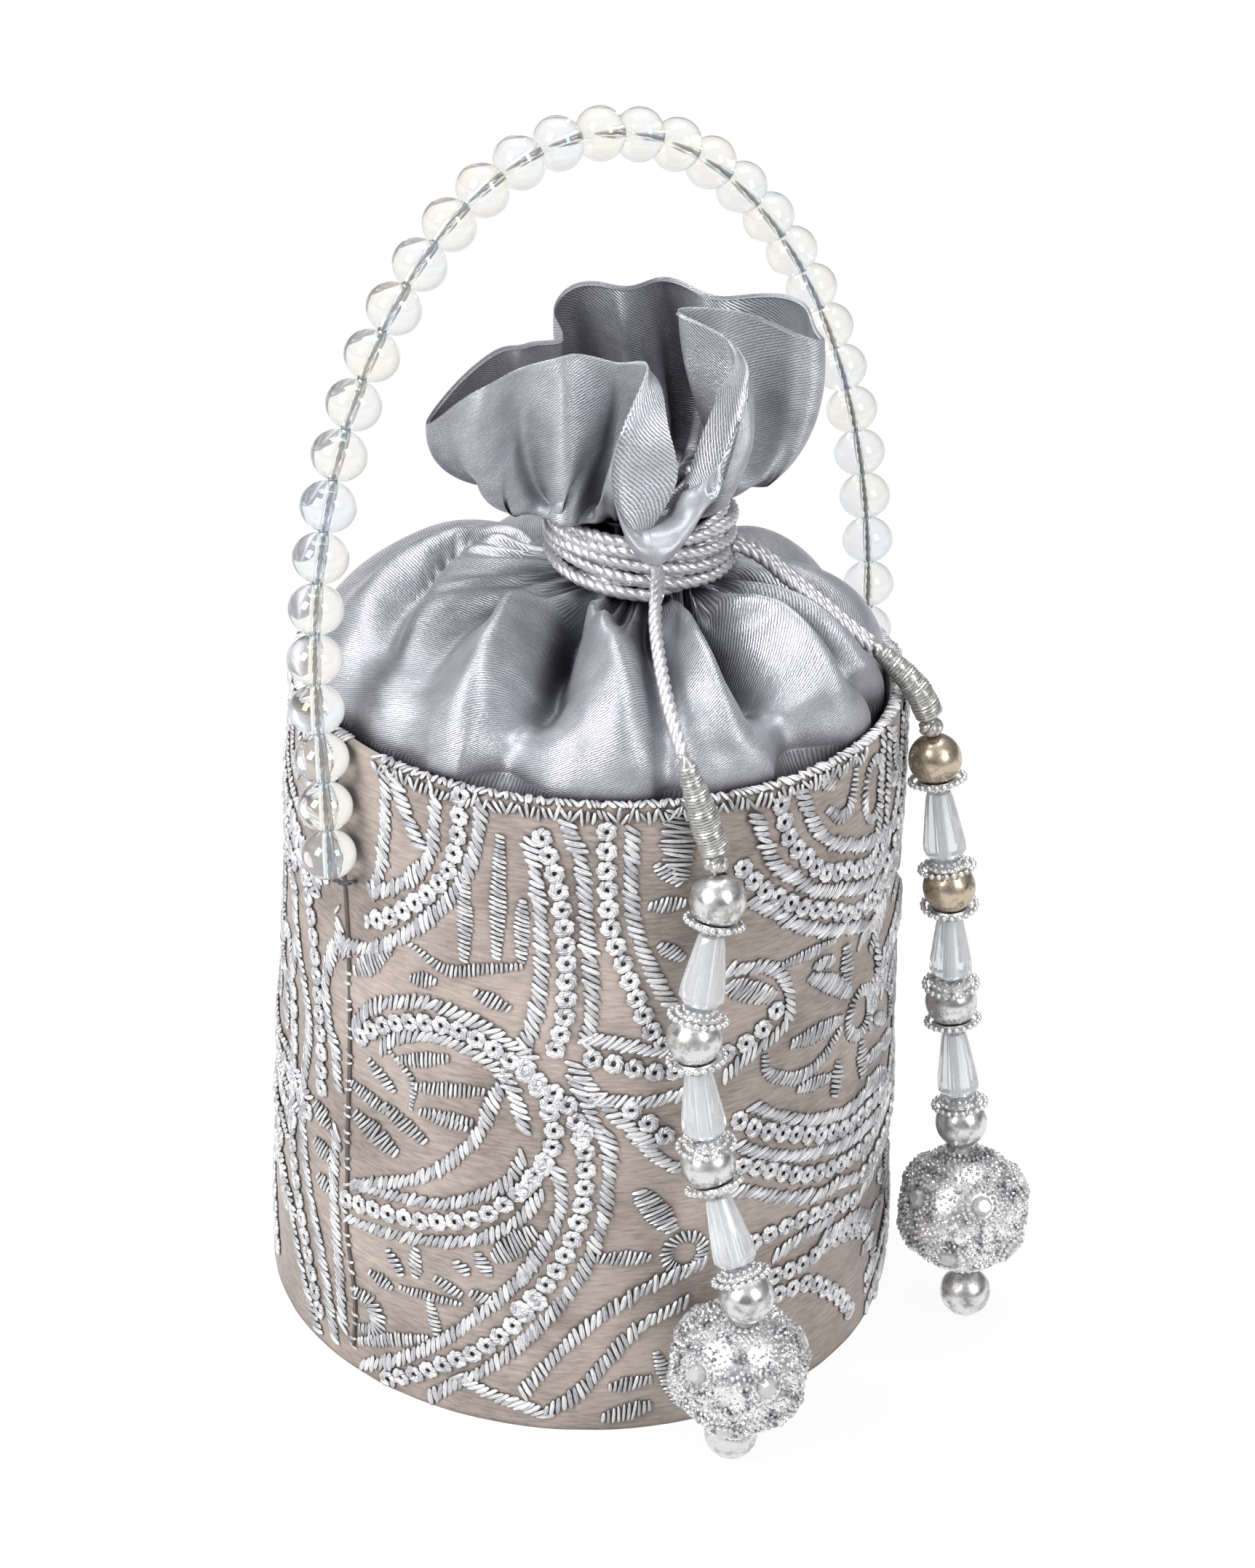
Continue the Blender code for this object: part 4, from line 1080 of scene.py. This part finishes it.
def satin_column(position):
    """One warp thread's way, from the tuck inside the rim to the ruffle's turned-in strip."""
    degrees = neck_angle(position)
    outward = level_way(math.radians(degrees))
    neck = Vector((NECK_OFFSET, 0, 0))
    tuck = [WALL_HEIGHT - SATIN_TUCK * (1 - k / TUCK_ROWS) for k in range(TUCK_ROWS)]
    points = [outward * SATIN_RADIUS + UP * height for height in tuck]
    points += [dome_point(degrees, DOME_TOP * k / (DOME_ROWS - 1)) for k in range(DOME_ROWS)]
    low, top = WALL_HEIGHT + DOME_RISE, BAND_BOTTOM + BAND_HEIGHT + NECK_SPARE
    gather = pleats(degrees, 0) * MM
    for k in range(NECK_ROWS):
        height = low + (top - low) * k / (NECK_ROWS - 1)
        points.append(neck + outward * (NECK_RADIUS + gather) + UP * height)
    start = points[-1]
    x, y, z, out, lift, arrive, dx, dy, dz = (edge_value(position, k) for k in range(1, 10))
    edge = neck + Vector((x, y, WALL_HEIGHT + z))
    first = start + outward * (out - 0.7 * gather) + UP * lift
    last = edge - UP * arrive + outward * (1 * MM)
    points += [bezier(start, first, last, edge, k / RUFFLE_ROWS) for k in range(1, RUFFLE_ROWS + 1)]
    along = (edge - last).normalized()
    strip = Vector((dx, dy, dz)) - (UP + outward) * HEM
    for k in range(1, TURN_ROWS + 1):
        t = k / TURN_ROWS
        points.append(edge + strip * t + along * HEM * math.sin(math.pi * min(1, 2.5 * t)))
    return points


def fold_ruffle(columns):
    """Push the ruffle's grid along its own normals where its folds run."""
    grid = np.array(columns)
    around = np.roll(grid, -2, axis=0) - np.roll(grid, 2, axis=0)
    normals = np.cross(around, np.gradient(grid, axis=1))
    normals /= np.linalg.norm(normals, axis=2, keepdims=True) + 1e-12
    for k in range(SATIN_COLUMNS):
        degrees = neck_angle(k * len(RUFFLE_EDGE) / SATIN_COLUMNS)
        for row in range(1, RUFFLE_ROWS + 1):
            t = row / RUFFLE_ROWS
            rise = min(1, t / 0.35)
            fade = rise * rise * (3 - 2 * rise) * (1 - 0.6 * t**6)
            push = fold_height(RUFFLE_FOLDS, degrees, t) * MM * fade
            place = row - RUFFLE_ROWS - TURN_ROWS - 1
            grid[k, place] += normals[k, place] * push
        grid[k, -TURN_ROWS:] += normals[k, -TURN_ROWS - 1] * push
    return grid


def inner_gathers():
    """The cloth packed inside the neck, closing the bottom of the ruffle in small pleats."""
    top = WALL_HEIGHT + DOME_RISE + BAND_HEIGHT + 3 * MM
    columns = []
    for k in range(GATHER_COLUMNS):
        turn = math.tau * k / GATHER_COLUMNS
        points = []
        for j in range(GATHER_ROWS + 1):
            t = j / GATHER_ROWS
            pleat = 0.9 * MM * math.cos(17 * turn + 3 * t + 2 * math.sin(2 * turn))
            reach = (NECK_RADIUS + 1.0 * MM) * (1 - t) + 0.3 * MM
            drop = 7 * MM * math.sin(math.pi / 2 * t) + pleat * math.sin(math.pi * min(1, 1.3 * t + 0.1))
            points.append(Vector((NECK_OFFSET, 0, top - drop)) + level_way(turn + 0.5 * t) * reach)
        columns.append(points)
    return columns


def cloth_tube(columns, width, height):
    """A grid of cloth closed into a tube and moved to its columns, with its flat sizes kept as UV."""
    count, rows = len(columns), len(columns[0])
    bm = bmesh.new()
    bmesh.ops.create_grid(bm, x_segments=count, y_segments=rows - 1, size=1)
    flat = bm.loops.layers.uv.new("flat")
    for face in bm.faces:
        for corner in face.loops:
            across, up = corner.vert.co.x / 2 + 0.5, corner.vert.co.y / 2 + 0.5
            corner[flat].uv = (across * width, up * height)
    for v in bm.verts:
        k = round((v.co.x / 2 + 0.5) * count) % count
        j = round((v.co.y / 2 + 0.5) * (rows - 1))
        v.co = columns[k][j]
    bmesh.ops.remove_doubles(bm, verts=bm.verts, dist=0.0005 * MM)
    bmesh.ops.recalc_face_normals(bm, faces=bm.faces)
    return mesh_of(bm)


def build_satin():
    """The satin's outside and the pleats inside its neck, as one piece."""
    ring = [k * len(RUFFLE_EDGE) / SATIN_COLUMNS for k in range(SATIN_COLUMNS)]
    columns = fold_ruffle([satin_column(position) for position in ring])
    outside = cloth_tube(columns, math.tau * RIM_RADIUS, 119 * MM)
    mesh = joined([outside, cloth_tube(inner_gathers(), 80 * MM, 16 * MM)])
    satin = dress(mesh, "gathered_satin", satin_cloth(), smooth=180, node="satin_top")
    print("satin:", len(satin.data.polygons), "faces")


build_satin()

# %% [markdown]
# ## The drum's cloth
# The wall is taupe cloth over card. It is turned as one section with a rolled hem, and then pushed
# out a little where the embroidery is padded from behind. A turned section keeps the thickness at the
# rim, which a bent sheet would have to be given afterwards.

# %% Drum cloth
EMBROIDERY_RAISE = 0.6 * MM
EMBROIDERY_BANDS = [
    (7.0, (-134, 83), (-121, 86), (-108, 84), (-98, 76), (-91, 64), (-88, 51), (-91, 37),
     (-99, 25), (-110, 15), (-121, 8)),
    (6.0, (-134, 37), (-121, 40), (-110, 45), (-102, 53), (-99, 63), (-101, 72)),
    (8.0, (-97, 127), (-96.5, 110), (-95.5, 96), (-95, 88)),
    (6.0, (-86.5, 127), (-86, 113), (-83.5, 102), (-79, 92), (-77, 85)),
    (9.0, (-56, 127), (-52, 117), (-44, 109), (-34, 104)),
    (5.0, (-87, 79), (-79, 79), (-71, 81)),
    (9.0, (-79, 70), (-70, 64), (-60, 60), (-48, 57), (-34, 55)),
    (5.0, (-64, 48), (-54, 42), (-44, 39), (-34, 39)),
    (8.0, (-131, 98), (-122, 102), (-114, 110), (-110, 120), (-109, 127)),
    (5.0, (-97, 9), (-90, 18), (-81, 27), (-70, 33)),
]
REPEATS = (0, 108, 226)
WALL_COLUMNS = 300
WALL_ROWS = 100


def taupe_cloth():
    """Taupe cloth with a horizontal grain, with painted shade that darkens it close beside the stitches."""
    made, tree, shader = new_material("taupe_cloth", Roughness=0.62, Sheen_Weight=0.25, Sheen_Roughness=0.4)
    place = object_place(tree)
    stretched = add_node(tree, "ShaderNodeMapping", {"Vector": place, "Scale": (0.4, 0.4, 2.4)})
    threads = noise_at(tree, stretched.outputs["Vector"], 760.0, 4.0, 0.6)
    cloud = noise_at(tree, place, 45.0, 2.0)
    tone = ramp(tree, mean(tree, threads, cloud), (0.35, "#70665f"), (0.65, "#a99c94"))
    # Painted shade: the colour falls to a dark taupe close beside the raised stitches.
    tree.links.new(painted_gap_shade(tree, tone, 1.6 * MM, "#655b56"), shader.inputs["Base Color"])
    relief(tree, shader, threads, 0.4, 0.2 * MM)
    return made


def unrolled(degrees, height):
    """A place on the drum as flat mm: along the wall from the front and up."""
    return np.array((math.radians(degrees) * BASE_RADIUS / MM, height))


def band_lift(places):
    """How far the padding lifts the cloth at flat places (n, 2), from 0 to 1."""
    lift = np.zeros(len(places))
    around = 2 * math.pi * BASE_RADIUS / MM
    for width, *line in EMBROIDERY_BANDS:
        flat = [Vector((*unrolled(a, z), 0)) for a, z in line]
        for spot in even(smooth_curve(flat, 4), 2.5):
            for repeat in REPEATS:
                shift = math.radians(repeat) * BASE_RADIUS / MM
                dx = np.abs(places[:, 0] - spot.x - shift)
                dx = np.minimum(dx, np.abs(around - dx))
                away = np.hypot(dx, places[:, 1] - spot.y)
                lift = np.maximum(lift, np.clip((width / 2 + 0.8 - away) / 1.6, 0, 1))
    return lift


def build_wall(cloth):
    """The drum's wall: outside, rolled rim and inside as one turned section."""
    heights = [WALL_HEIGHT * k / WALL_ROWS for k in range(WALL_ROWS - 1)]
    outside = [(wall_radius(height), height) for height in heights]
    hem, half = 0.9 * MM, WALL_THICKNESS / 2
    roll = []
    for k in range(7):
        turn = math.pi * k / 6
        roll.append((RIM_RADIUS - half + half * math.cos(turn), WALL_HEIGHT - hem + hem * math.sin(turn)))
    bm = turned([*outside, *roll, (BASE_RADIUS - WALL_THICKNESS, 0)], WALL_COLUMNS)
    outer = [v for v in bm.verts if v.co.xy.length > wall_radius(v.co.z) - 0.1 * MM]
    places = np.array([unrolled(math.degrees(math.atan2(v.co.y, v.co.x)), v.co.z / MM) for v in outer])
    for v, lift in zip(outer, band_lift(places)):
        out = Vector((v.co.x, v.co.y, 0)).normalized()
        ripple = 0.12 * MM * noise.noise(v.co * 180)
        v.co += out * (lift * EMBROIDERY_RAISE * 0.8 + ripple)
    wall = dress(mesh_of(bm), "drum_cloth", cloth, node="body_wall")
    print("drum cloth:", len(wall.data.polygons), "faces")


TAUPE = taupe_cloth()
build_wall(TAUPE)
# The base keeps its CAD shape and takes the same cloth.
base_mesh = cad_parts["base_disc"].data
base_mesh.materials.clear()
base_mesh.materials.append(TAUPE)

# %% [markdown]
# ## The embroidery
# Lines of motif were read off the drum, unrolled, as (angle, height in mm) points. Three kinds of
# work fill them: a rope of slanting stitches, a chain of loops and bars of satin stitch. Each stitch
# is a real little lens of thread, because a picture of stitches on smooth cloth would catch no light
# of its own. Beside the beads of the lowered handle the stitches are left out.

# %% Embroidery
ROPES = [
    ((-132.5, 130), (-133, 115), (-134, 108), (-137, 106)),
    ((-129, 130), (-129, 116), (-130, 109), (-133, 103), (-137, 101)),
    ((-127, 129), (-124, 123), (-121, 118)),
    ((-118, 128), (-118.5, 118), (-121, 113), (-126, 108), (-131, 105)),
    ((-109, 129), (-110, 120), (-113, 112), (-118, 105), (-125, 98), (-132, 93), (-139, 91)),
    ((-135, 75), (-131, 81), (-125, 85), (-117, 87.5), (-108, 86), (-102, 83), (-99, 81)),
    ((-128, 74), (-124, 78), (-117, 80.5), (-110, 80), (-104, 77), (-101, 72), (-99.5, 66)),
    ((-103, 76), (-106, 68), (-108, 62), (-114, 54), (-120, 49), (-127, 45), (-134, 41)),
    ((-99.5, 60), (-102, 54), (-107, 50), (-114, 46), (-122, 44), (-134, 41.5)),
    ((-96, 52), (-100, 46), (-105, 41.5), (-111, 38.5), (-118, 36.5), (-127, 34.5), (-135, 33)),
    ((-97, 38), (-100, 32), (-106, 24), (-111, 18), (-117, 12), (-124, 6), (-130, 2)),
    ((-96, 22), (-101, 16), (-106, 10.5), (-110, 7), (-115, 2)),
    ((-110, 8.5), (-103, 6), (-97, 4.5)),
    ((-94, 128), (-91, 120), (-90, 110), (-89, 100), (-88.5, 92), (-89, 84)),
    ((-100, 124), (-98.5, 115), (-97.5, 105), (-97.5, 95), (-98.5, 88), (-100, 83)),
    ((-82.5, 127), (-82.5, 115), (-81.5, 108), (-79.5, 102), (-77, 96), (-75, 92)),
    ((-89, 85.5), (-84, 84.5), (-78, 83), (-73, 82)),
    ((-91, 80), (-88, 75), (-84, 70), (-80, 66), (-77, 63)),
    ((-88, 73), (-82, 72.5), (-76, 72.5), (-70, 73)),
    ((-91, 77), (-88, 70), (-86, 65)),
    ((-85, 66), (-84.5, 58), (-85, 50), (-86.5, 42), (-89, 35), (-92, 29), (-96, 23), (-99, 19)),
    ((-93.5, 58), (-92.5, 52), (-93, 47), (-95, 42), (-97, 37), (-99, 33)),
    ((-80, 65), (-76, 60), (-72, 57)),
    ((-98, 8), (-94, 15), (-89, 22), (-84, 27), (-78, 31.5), (-73, 34), (-67, 35.5)),
    ((-94, 4), (-89, 8), (-85, 14), (-81, 20), (-77, 24), (-70, 27.5)),
    ((-100, 6), (-94, 3)),
    ((-60, 127), (-56, 117), (-52, 113), (-46, 108), (-38, 105), (-30, 102), (-24, 100), (-15, 96)),
    ((-50, 129), (-48, 124), (-45, 119), (-41, 115.5), (-36, 113), (-31, 111), (-24, 109.5), (-15, 107.5)),
    ((-60, 110), (-55, 106.5), (-51, 103), (-46, 100), (-41, 97.5), (-36, 96), (-30, 93.5), (-25, 91)),
    ((-64, 97), (-55, 95), (-51, 88), (-52, 82), (-60, 78), (-64, 75)),
    ((-25, 91), (-24, 80), (-26, 70)),
    ((-58, 67), (-54, 64), (-48, 60.5), (-43, 58.5), (-37, 56.5), (-30, 55.5), (-22, 54.5), (-15, 52)),
    ((-61, 60), (-57, 57), (-51, 54), (-46, 52), (-40, 50), (-33, 48), (-25, 47), (-17, 46)),
    ((-62, 50), (-57, 48), (-52, 45), (-47, 43), (-42, 41), (-36, 40.5), (-30, 38), (-24, 36)),
    ((-52, 32), (-45, 33.5), (-38, 33)),
    ((-40, 30), (-30, 29), (-25, 26), (-20, 22)),
]
CHAINS = [
    ((-113, 130), (-113.5, 120), (-116, 113), (-121, 107), (-128, 101), (-136, 98)),
    ((-133, 74), (-129, 78), (-122, 82), (-114, 84), (-107, 82.5), (-101, 79), (-98, 76), (-95, 72)),
    ((-96, 58), (-100, 52), (-106, 46), (-112, 43), (-120, 40.5), (-128, 39), (-135, 37.5)),
    ((-96, 29), (-101, 22), (-106, 16), (-111, 12), (-117, 7), (-124, 2)),
    ((-98, 125), (-95.5, 118), (-94, 110), (-93, 100), (-93, 90), (-94.5, 83)),
    ((-87, 127), (-86.5, 115), (-85.5, 107), (-83, 100), (-80.5, 93), (-78, 87), (-76, 84)),
    ((-88, 81.5), (-84, 80.5), (-79, 79), (-74, 78), (-70, 79)),
    ((-81, 71), (-78, 68), (-75, 65)),
    ((-99.5, 79), (-97, 76), (-93, 73), (-91, 70), (-89.5, 65)),
    ((-95, 70), (-94, 65), (-95, 61), (-97, 57), (-99, 53)),
    ((-89, 66), (-88.5, 58), (-89, 50), (-90.5, 43), (-93, 36), (-96, 31), (-99, 27)),
    ((-55, 128), (-53, 121), (-49, 116), (-44, 111), (-37, 108.5), (-30, 106), (-22, 103.5), (-15, 100)),
    ((-62, 117), (-58, 112), (-54, 109), (-48, 105), (-41, 102), (-36, 99), (-31, 98), (-26, 97)),
    ((-64, 80), (-58, 82), (-54, 86)),
    ((-61, 65), (-57, 62), (-51, 59), (-45, 56), (-38, 53.5), (-30, 51.5), (-22, 51), (-15, 49)),
    ((-60, 55), (-55, 52.5), (-50, 49.5), (-45, 47), (-38, 45), (-30, 43.5), (-22, 43)),
    ((-57, 37), (-50, 38), (-44, 37.5), (-38, 36), (-30, 33)),
    ((-52, 27.5), (-45, 27), (-38, 28), (-30, 26), (-24, 22)),
    ((-51, 23), (-44, 22), (-40, 19), (-34, 13), (-30, 7)),
]
# Bars and leaves of satin stitch: width in mm, then the line that the stitches cross.
BARS = [
    (4.5, (-127, 95), (-135, 87)), (3, (-111.5, 115), (-111.5, 98)),
    (3, (-105.5, 124), (-105.5, 100)), (3, (-101, 112), (-101, 100)),
    (2.4, (-122, 98), (-115, 95), (-108, 97), (-101, 99)), (3, (-122, 91), (-117, 92)),
    (3, (-109, 92), (-103, 90)), (3, (-124, 73), (-114, 77)), (3, (-120, 69), (-107, 72)),
    (3, (-119, 64), (-109, 65)), (3, (-131, 70), (-125, 66)),
    (1.6, (-126, 74), (-121, 70), (-121, 64)), (5, (-134, 57), (-124, 53)),
    (4, (-127, 62), (-118, 58)), (3, (-135, 63), (-126, 61)), (3, (-118, 64), (-110, 63.5)),
    (5, (-97, 44), (-104, 37)), (3, (-107, 37), (-105, 33)), (3, (-111, 34), (-109, 32)),
    (3, (-115, 29), (-110, 27)), (3, (-108, 28), (-104, 27)), (3, (-119, 34), (-119, 28)),
    (3, (-125, 31), (-122, 27)), (3, (-129, 24), (-124, 23)), (2, (-122, 24), (-110, 25)),
    (2.4, (-116, 24), (-114, 16)), (4, (-133, 18), (-128, 17), (-127, 12), (-131, 10)),
    (3, (-116, 15), (-124, 11), (-131, 7)), (6, (-75, 130), (-74, 117)),
    (3, (-78, 120), (-74, 116)), (3, (-79, 112), (-73, 112)), (3, (-77, 104), (-73, 101)),
    (5, (-79, 53), (-73, 44)), (3.5, (-86, 39), (-77, 38.5)), (3.5, (-83, 10), (-76, 11)),
    (4, (-84, 3), (-76, 5)), (3, (-75, 17), (-73, 11), (-71, 5)), (3, (-45, 130), (-42, 127)),
    (3, (-43, 123), (-39, 120), (-36, 122), (-35, 128)), (3, (-20, 120), (-14, 116)),
    (5, (-64, 94), (-55, 89)), (4, (-50, 77.5), (-37, 77)),
    (3, (-56, 77), (-55, 73), (-48, 69.5), (-42, 71), (-37, 75)), (3, (-48, 67), (-40, 66)),
    (4, (-46, 90), (-40, 86), (-34, 81)), (3, (-45, 92), (-40, 91)), (2.5, (-53, 95), (-40, 95)),
    (4, (-36, 92), (-35, 84)), (4, (-37, 68), (-38, 61)), (4, (-29, 68), (-28, 60)),
]
# Rings of satin stitch: middle, the two radii in mm and the stitch's length.
RINGS = [((-70.5, 38.5), 3.7, 3.7, 3.0), ((-30, 75), 4.6, 4.6, 3.4), ((-28, 121), 3.8, 6.0, 2.6)]
# The strip left of the seam, which the repeats don't reach.
SIDE_ROPES = [
    ((-160, 93), (-157, 83), (-151.5, 73), (-149.6, 66), (-151.8, 49), (-149, 35.5), (-145, 26),
     (-140.8, 15), (-137.6, 3.5)),
    ((-141.4, 89), (-144, 81.6), (-143, 73), (-140.4, 68), (-139, 60)),
    ((-139.5, 128), (-139, 118), (-140.2, 103), (-140, 97), (-140, 90)),
    ((-156.6, 23), (-153, 17), (-148.5, 10), (-143, 2)),
    ((-139, 50), (-139.5, 40), (-138.5, 30), (-137, 20), (-135.5, 8)),
    ((-150, 128), (-148, 118), (-147.5, 108), (-148.5, 98)),
]
SIDE_CHAINS = [
    ((-162.3, 104), (-154.3, 97.7), (-150.2, 90.7), (-147.9, 82.7), (-146.2, 74.2), (-144.7, 65.5),
     (-144.2, 57)),
    ((-158, 70), (-156.5, 60), (-157, 48), (-156, 38), (-152.2, 28), (-147.4, 17.6), (-142.8, 7)),
    ((-155, 126), (-153, 116), (-152, 106)),
    ((-144.5, 126), (-144, 114), (-144.5, 102)),
]
SIDE_BARS = [
    (5, (-141, 104), (-137, 103)), (5, (-141, 97), (-137, 96)), (5, (-141, 90), (-137, 90)),
    (5, (-146.5, 52), (-141.5, 50)), (5, (-146, 44), (-141, 43)), (4, (-144.5, 37), (-140, 36)),
]
SEAM = ((-140, 110), (-138.5, 100), (-137.5, 92), (-136.5, 80), (-136, 65), (-136, 50), (-135.5, 40),
        (-135.3, 30), (-134, 24), (-132.5, 15), (-132.5, 5))
# The handle's legs stand at these angles, above this height, and the stitches keep this much away.
LEG_ANGLES = (36.4, -136.4)
LEG_FOOT = 95
LEG_CLEAR = 4.2
SWUNG_CLEAR = BEAD / 2 + 1.9 * MM
LOWEST_STITCH, HIGHEST_STITCH = 1.0, 130.8
HEM_PITCH = 1.15
RIM_STITCHES = 330
ROPE_WIDTH = 2.9
ROPE_PITCH = 1.4
CHAIN_WIDTH = 4.0
CHAIN_PITCH = 3.7
BAR_PITCH = 0.95
SEAM_PITCH = 1.9
STITCH_HEIGHT = 1.1


def wall_placement(flat, along, lift, long, wide, high):
    """A lens of thread on the drum at a flat place, its long side along a flat direction, in mm."""
    turn = flat.x * MM / BASE_RADIUS
    around = Vector((-math.sin(turn), math.cos(turn), 0))
    out = level_way(turn)
    way = (around * along.x + UP * along.y).normalized()
    sides = (way * long * MM / 2, out.cross(way) * wide * MM / 2, out * high * MM / 2)
    matrix = Matrix(sides).transposed().to_4x4()
    matrix.translation = on_wall(math.degrees(turn), flat.y, lift)
    return matrix


def roll_placement(degrees, slant, long, wide):
    """A lens of thread across the top of the drum's rolled rim."""
    out = level_way(math.radians(degrees))
    way = swept(out, UP.cross(out), math.radians(slant))
    sides = (way * long * MM / 2, UP.cross(way) * wide * MM / 2, UP * 0.5 * MM)
    matrix = Matrix(sides).transposed().to_4x4()
    matrix.translation = out * (RIM_RADIUS - 0.35 * WALL_THICKNESS) + UP * WALL_HEIGHT
    return matrix


def clear_of_handle(degrees, height):
    away = min(abs((degrees - leg + 180) % 360 - 180) for leg in LEG_ANGLES)
    return height < LEG_FOOT or away > LEG_CLEAR


def followed(line, repeat, step):
    """Flat places a step apart along a motif line, each with the line's direction."""
    flat = [Vector((*unrolled(angle + repeat, height), 0)) for angle, height in line]
    points = even(smooth_curve(flat, 5), step)
    return list(zip(points, directions(points)))


def slanted(way, degrees):
    return Matrix.Rotation(math.radians(degrees), 3, "Z") @ way


def padding_grid():
    """The cloth's padding on a grid of 1 mm, so that each stitch can sit on it."""
    across, up = int(math.tau * BASE_RADIUS / MM) + 1, 133
    xs, ys = np.meshgrid(np.arange(across), np.arange(up), indexing="ij")
    return band_lift(np.stack([xs.ravel(), ys.ravel()], axis=1).astype(float)).reshape(across, up)


def stitch_places():
    """Every stitch's placement and shade, as ropes, chains and bars. Widths and lifts are in mm."""
    picks = random.Random(11)
    padding = padding_grid()
    ropes, chains, bars = [], [], []

    def sew(into, flat, along, long, wide, lift=0.22):
        degrees = math.degrees(flat.x * MM / BASE_RADIUS)
        if not (LOWEST_STITCH < flat.y < HIGHEST_STITCH and clear_of_handle(degrees, flat.y)):
            return
        under = padding[round(flat.x) % len(padding), round(flat.y)]
        level = 0.8 * EMBROIDERY_RAISE / MM * under + lift + picks.uniform(-0.05, 0.08)
        place = on_wall(degrees, flat.y)
        if min((place - bead).length for bead in SWUNG_BEADS) < SWUNG_CLEAR:
            return
        long, wide = long * picks.uniform(0.88, 1.1), wide * picks.uniform(0.85, 1.15)
        into.append((wall_placement(flat, along, level, long, wide, STITCH_HEIGHT), picks.random()))

    for repeat in REPEATS:
        # The strip left of the seam is sewn only once.
        first = repeat == 0
        for line in ROPES + SIDE_ROPES * first:
            for p, along in followed(line, repeat, ROPE_PITCH):
                slant = slanted(along, 50 + picks.uniform(-13, 13))
                sew(ropes, p, slant, ROPE_WIDTH * picks.uniform(1.2, 1.6), 1.25)
        for line in CHAINS + SIDE_CHAINS * first:
            for p, along in followed(line, repeat, CHAIN_PITCH):
                across = Vector((-along.y, along.x, 0))
                for k in range(7):
                    turn = math.tau * (k + 0.5) / 7
                    reach = along * math.cos(turn) * CHAIN_PITCH * 0.31
                    spot = p + reach + across * math.sin(turn) * CHAIN_WIDTH * 0.29
                    way = across * math.cos(turn) * CHAIN_WIDTH - along * math.sin(turn) * CHAIN_PITCH
                    sew(chains, spot, slanted(way.normalized(), 28), 2.3, 1.6, 0.3)
        for width, *line in BARS + SIDE_BARS * first:
            steps = followed(line, repeat, BAR_PITCH)
            for i, (p, along) in enumerate(steps):
                swell = 0.6 + 0.5 * math.sin(math.pi * i / max(1, len(steps) - 1))
                slant = slanted(along, 74 + picks.uniform(-8, 8))
                sew(bars, p, slant, width * swell * 1.1, 0.8)
        for (angle, height), wide, high, length in RINGS:
            middle = Vector((*unrolled(angle + repeat, height), 0))
            count = round(math.pi * (wide + high))
            for k in range(count):
                turn = math.tau * k / count
                spoke = Vector((math.cos(turn) * wide, math.sin(turn) * high, 0))
                sew(bars, middle + spoke, slanted(spoke.normalized(), 18), length, 0.8)
    for k in range(round(math.tau * RIM_RADIUS / (HEM_PITCH * MM))):
        flat = Vector((k * HEM_PITCH, 129.6 + picks.uniform(-0.5, 0.6), 0))
        way = level_way(math.radians(picks.choice((62, 75, 108, 125)) + picks.uniform(-14, 14)))
        sew(bars, flat, way, picks.uniform(2.2, 3.6), 0.75, 0.35)
    for k in range(RIM_STITCHES):
        degrees = 360 * (k + picks.uniform(-0.3, 0.3)) / RIM_STITCHES
        if clear_of_handle(degrees, WALL_HEIGHT / MM):
            slant = picks.choice((-28, 12, 35)) + picks.uniform(-10, 10)
            bars.append((roll_placement(degrees, slant, picks.uniform(2.4, 3.4), 1.0), picks.random()))
    for i, (p, _) in enumerate(followed(SEAM, 0, SEAM_PITCH)):
        way = level_way(math.radians(picks.uniform(-25, 25)))
        if i % 3:
            sew(bars, p, way, 2.2, 0.7)
    return ropes, chains, bars


def build_seam():
    """A dark line of painted shade along the seam where the cloth's two ends are sewn together."""
    line = [on_wall(angle, height, 0.1) for angle, height in SEAM]
    # Painted shade: a dark tube along the seam stands in for the shade in its crease.
    dark, _, _ = new_material("seam_shade_line", Base_Color=linear("#5b524d"), Roughness=0.8)
    mesh = tube_mesh([[(p, 0.5 * MM) for p in even(smooth_curve(line, 4), 2 * MM)]], 1)
    dress(mesh, "drum_seam", dark)


def build_embroidery():
    thread = silver_thread("silver_embroidery_thread", "#f6f6f7", "#a3a3a8", 0.4, strands=3.0)
    for name, sewn in zip(("rope_stitches", "chain_stitches", "satin_stitches"), stitch_places()):
        lens = bmesh.new()
        lying = Matrix.Rotation(math.pi / 2, 4, "Y")
        bmesh.ops.create_uvsphere(lens, u_segments=5, v_segments=5, radius=1, matrix=lying)
        mesh = copies(lens, *zip(*sewn))
        dress(mesh, name, thread, smooth=180)
        triangles = sum(len(f.vertices) - 2 for f in mesh.polygons)
        print(name, len(sewn), "stitches,", triangles, "triangles")


build_seam()
build_embroidery()
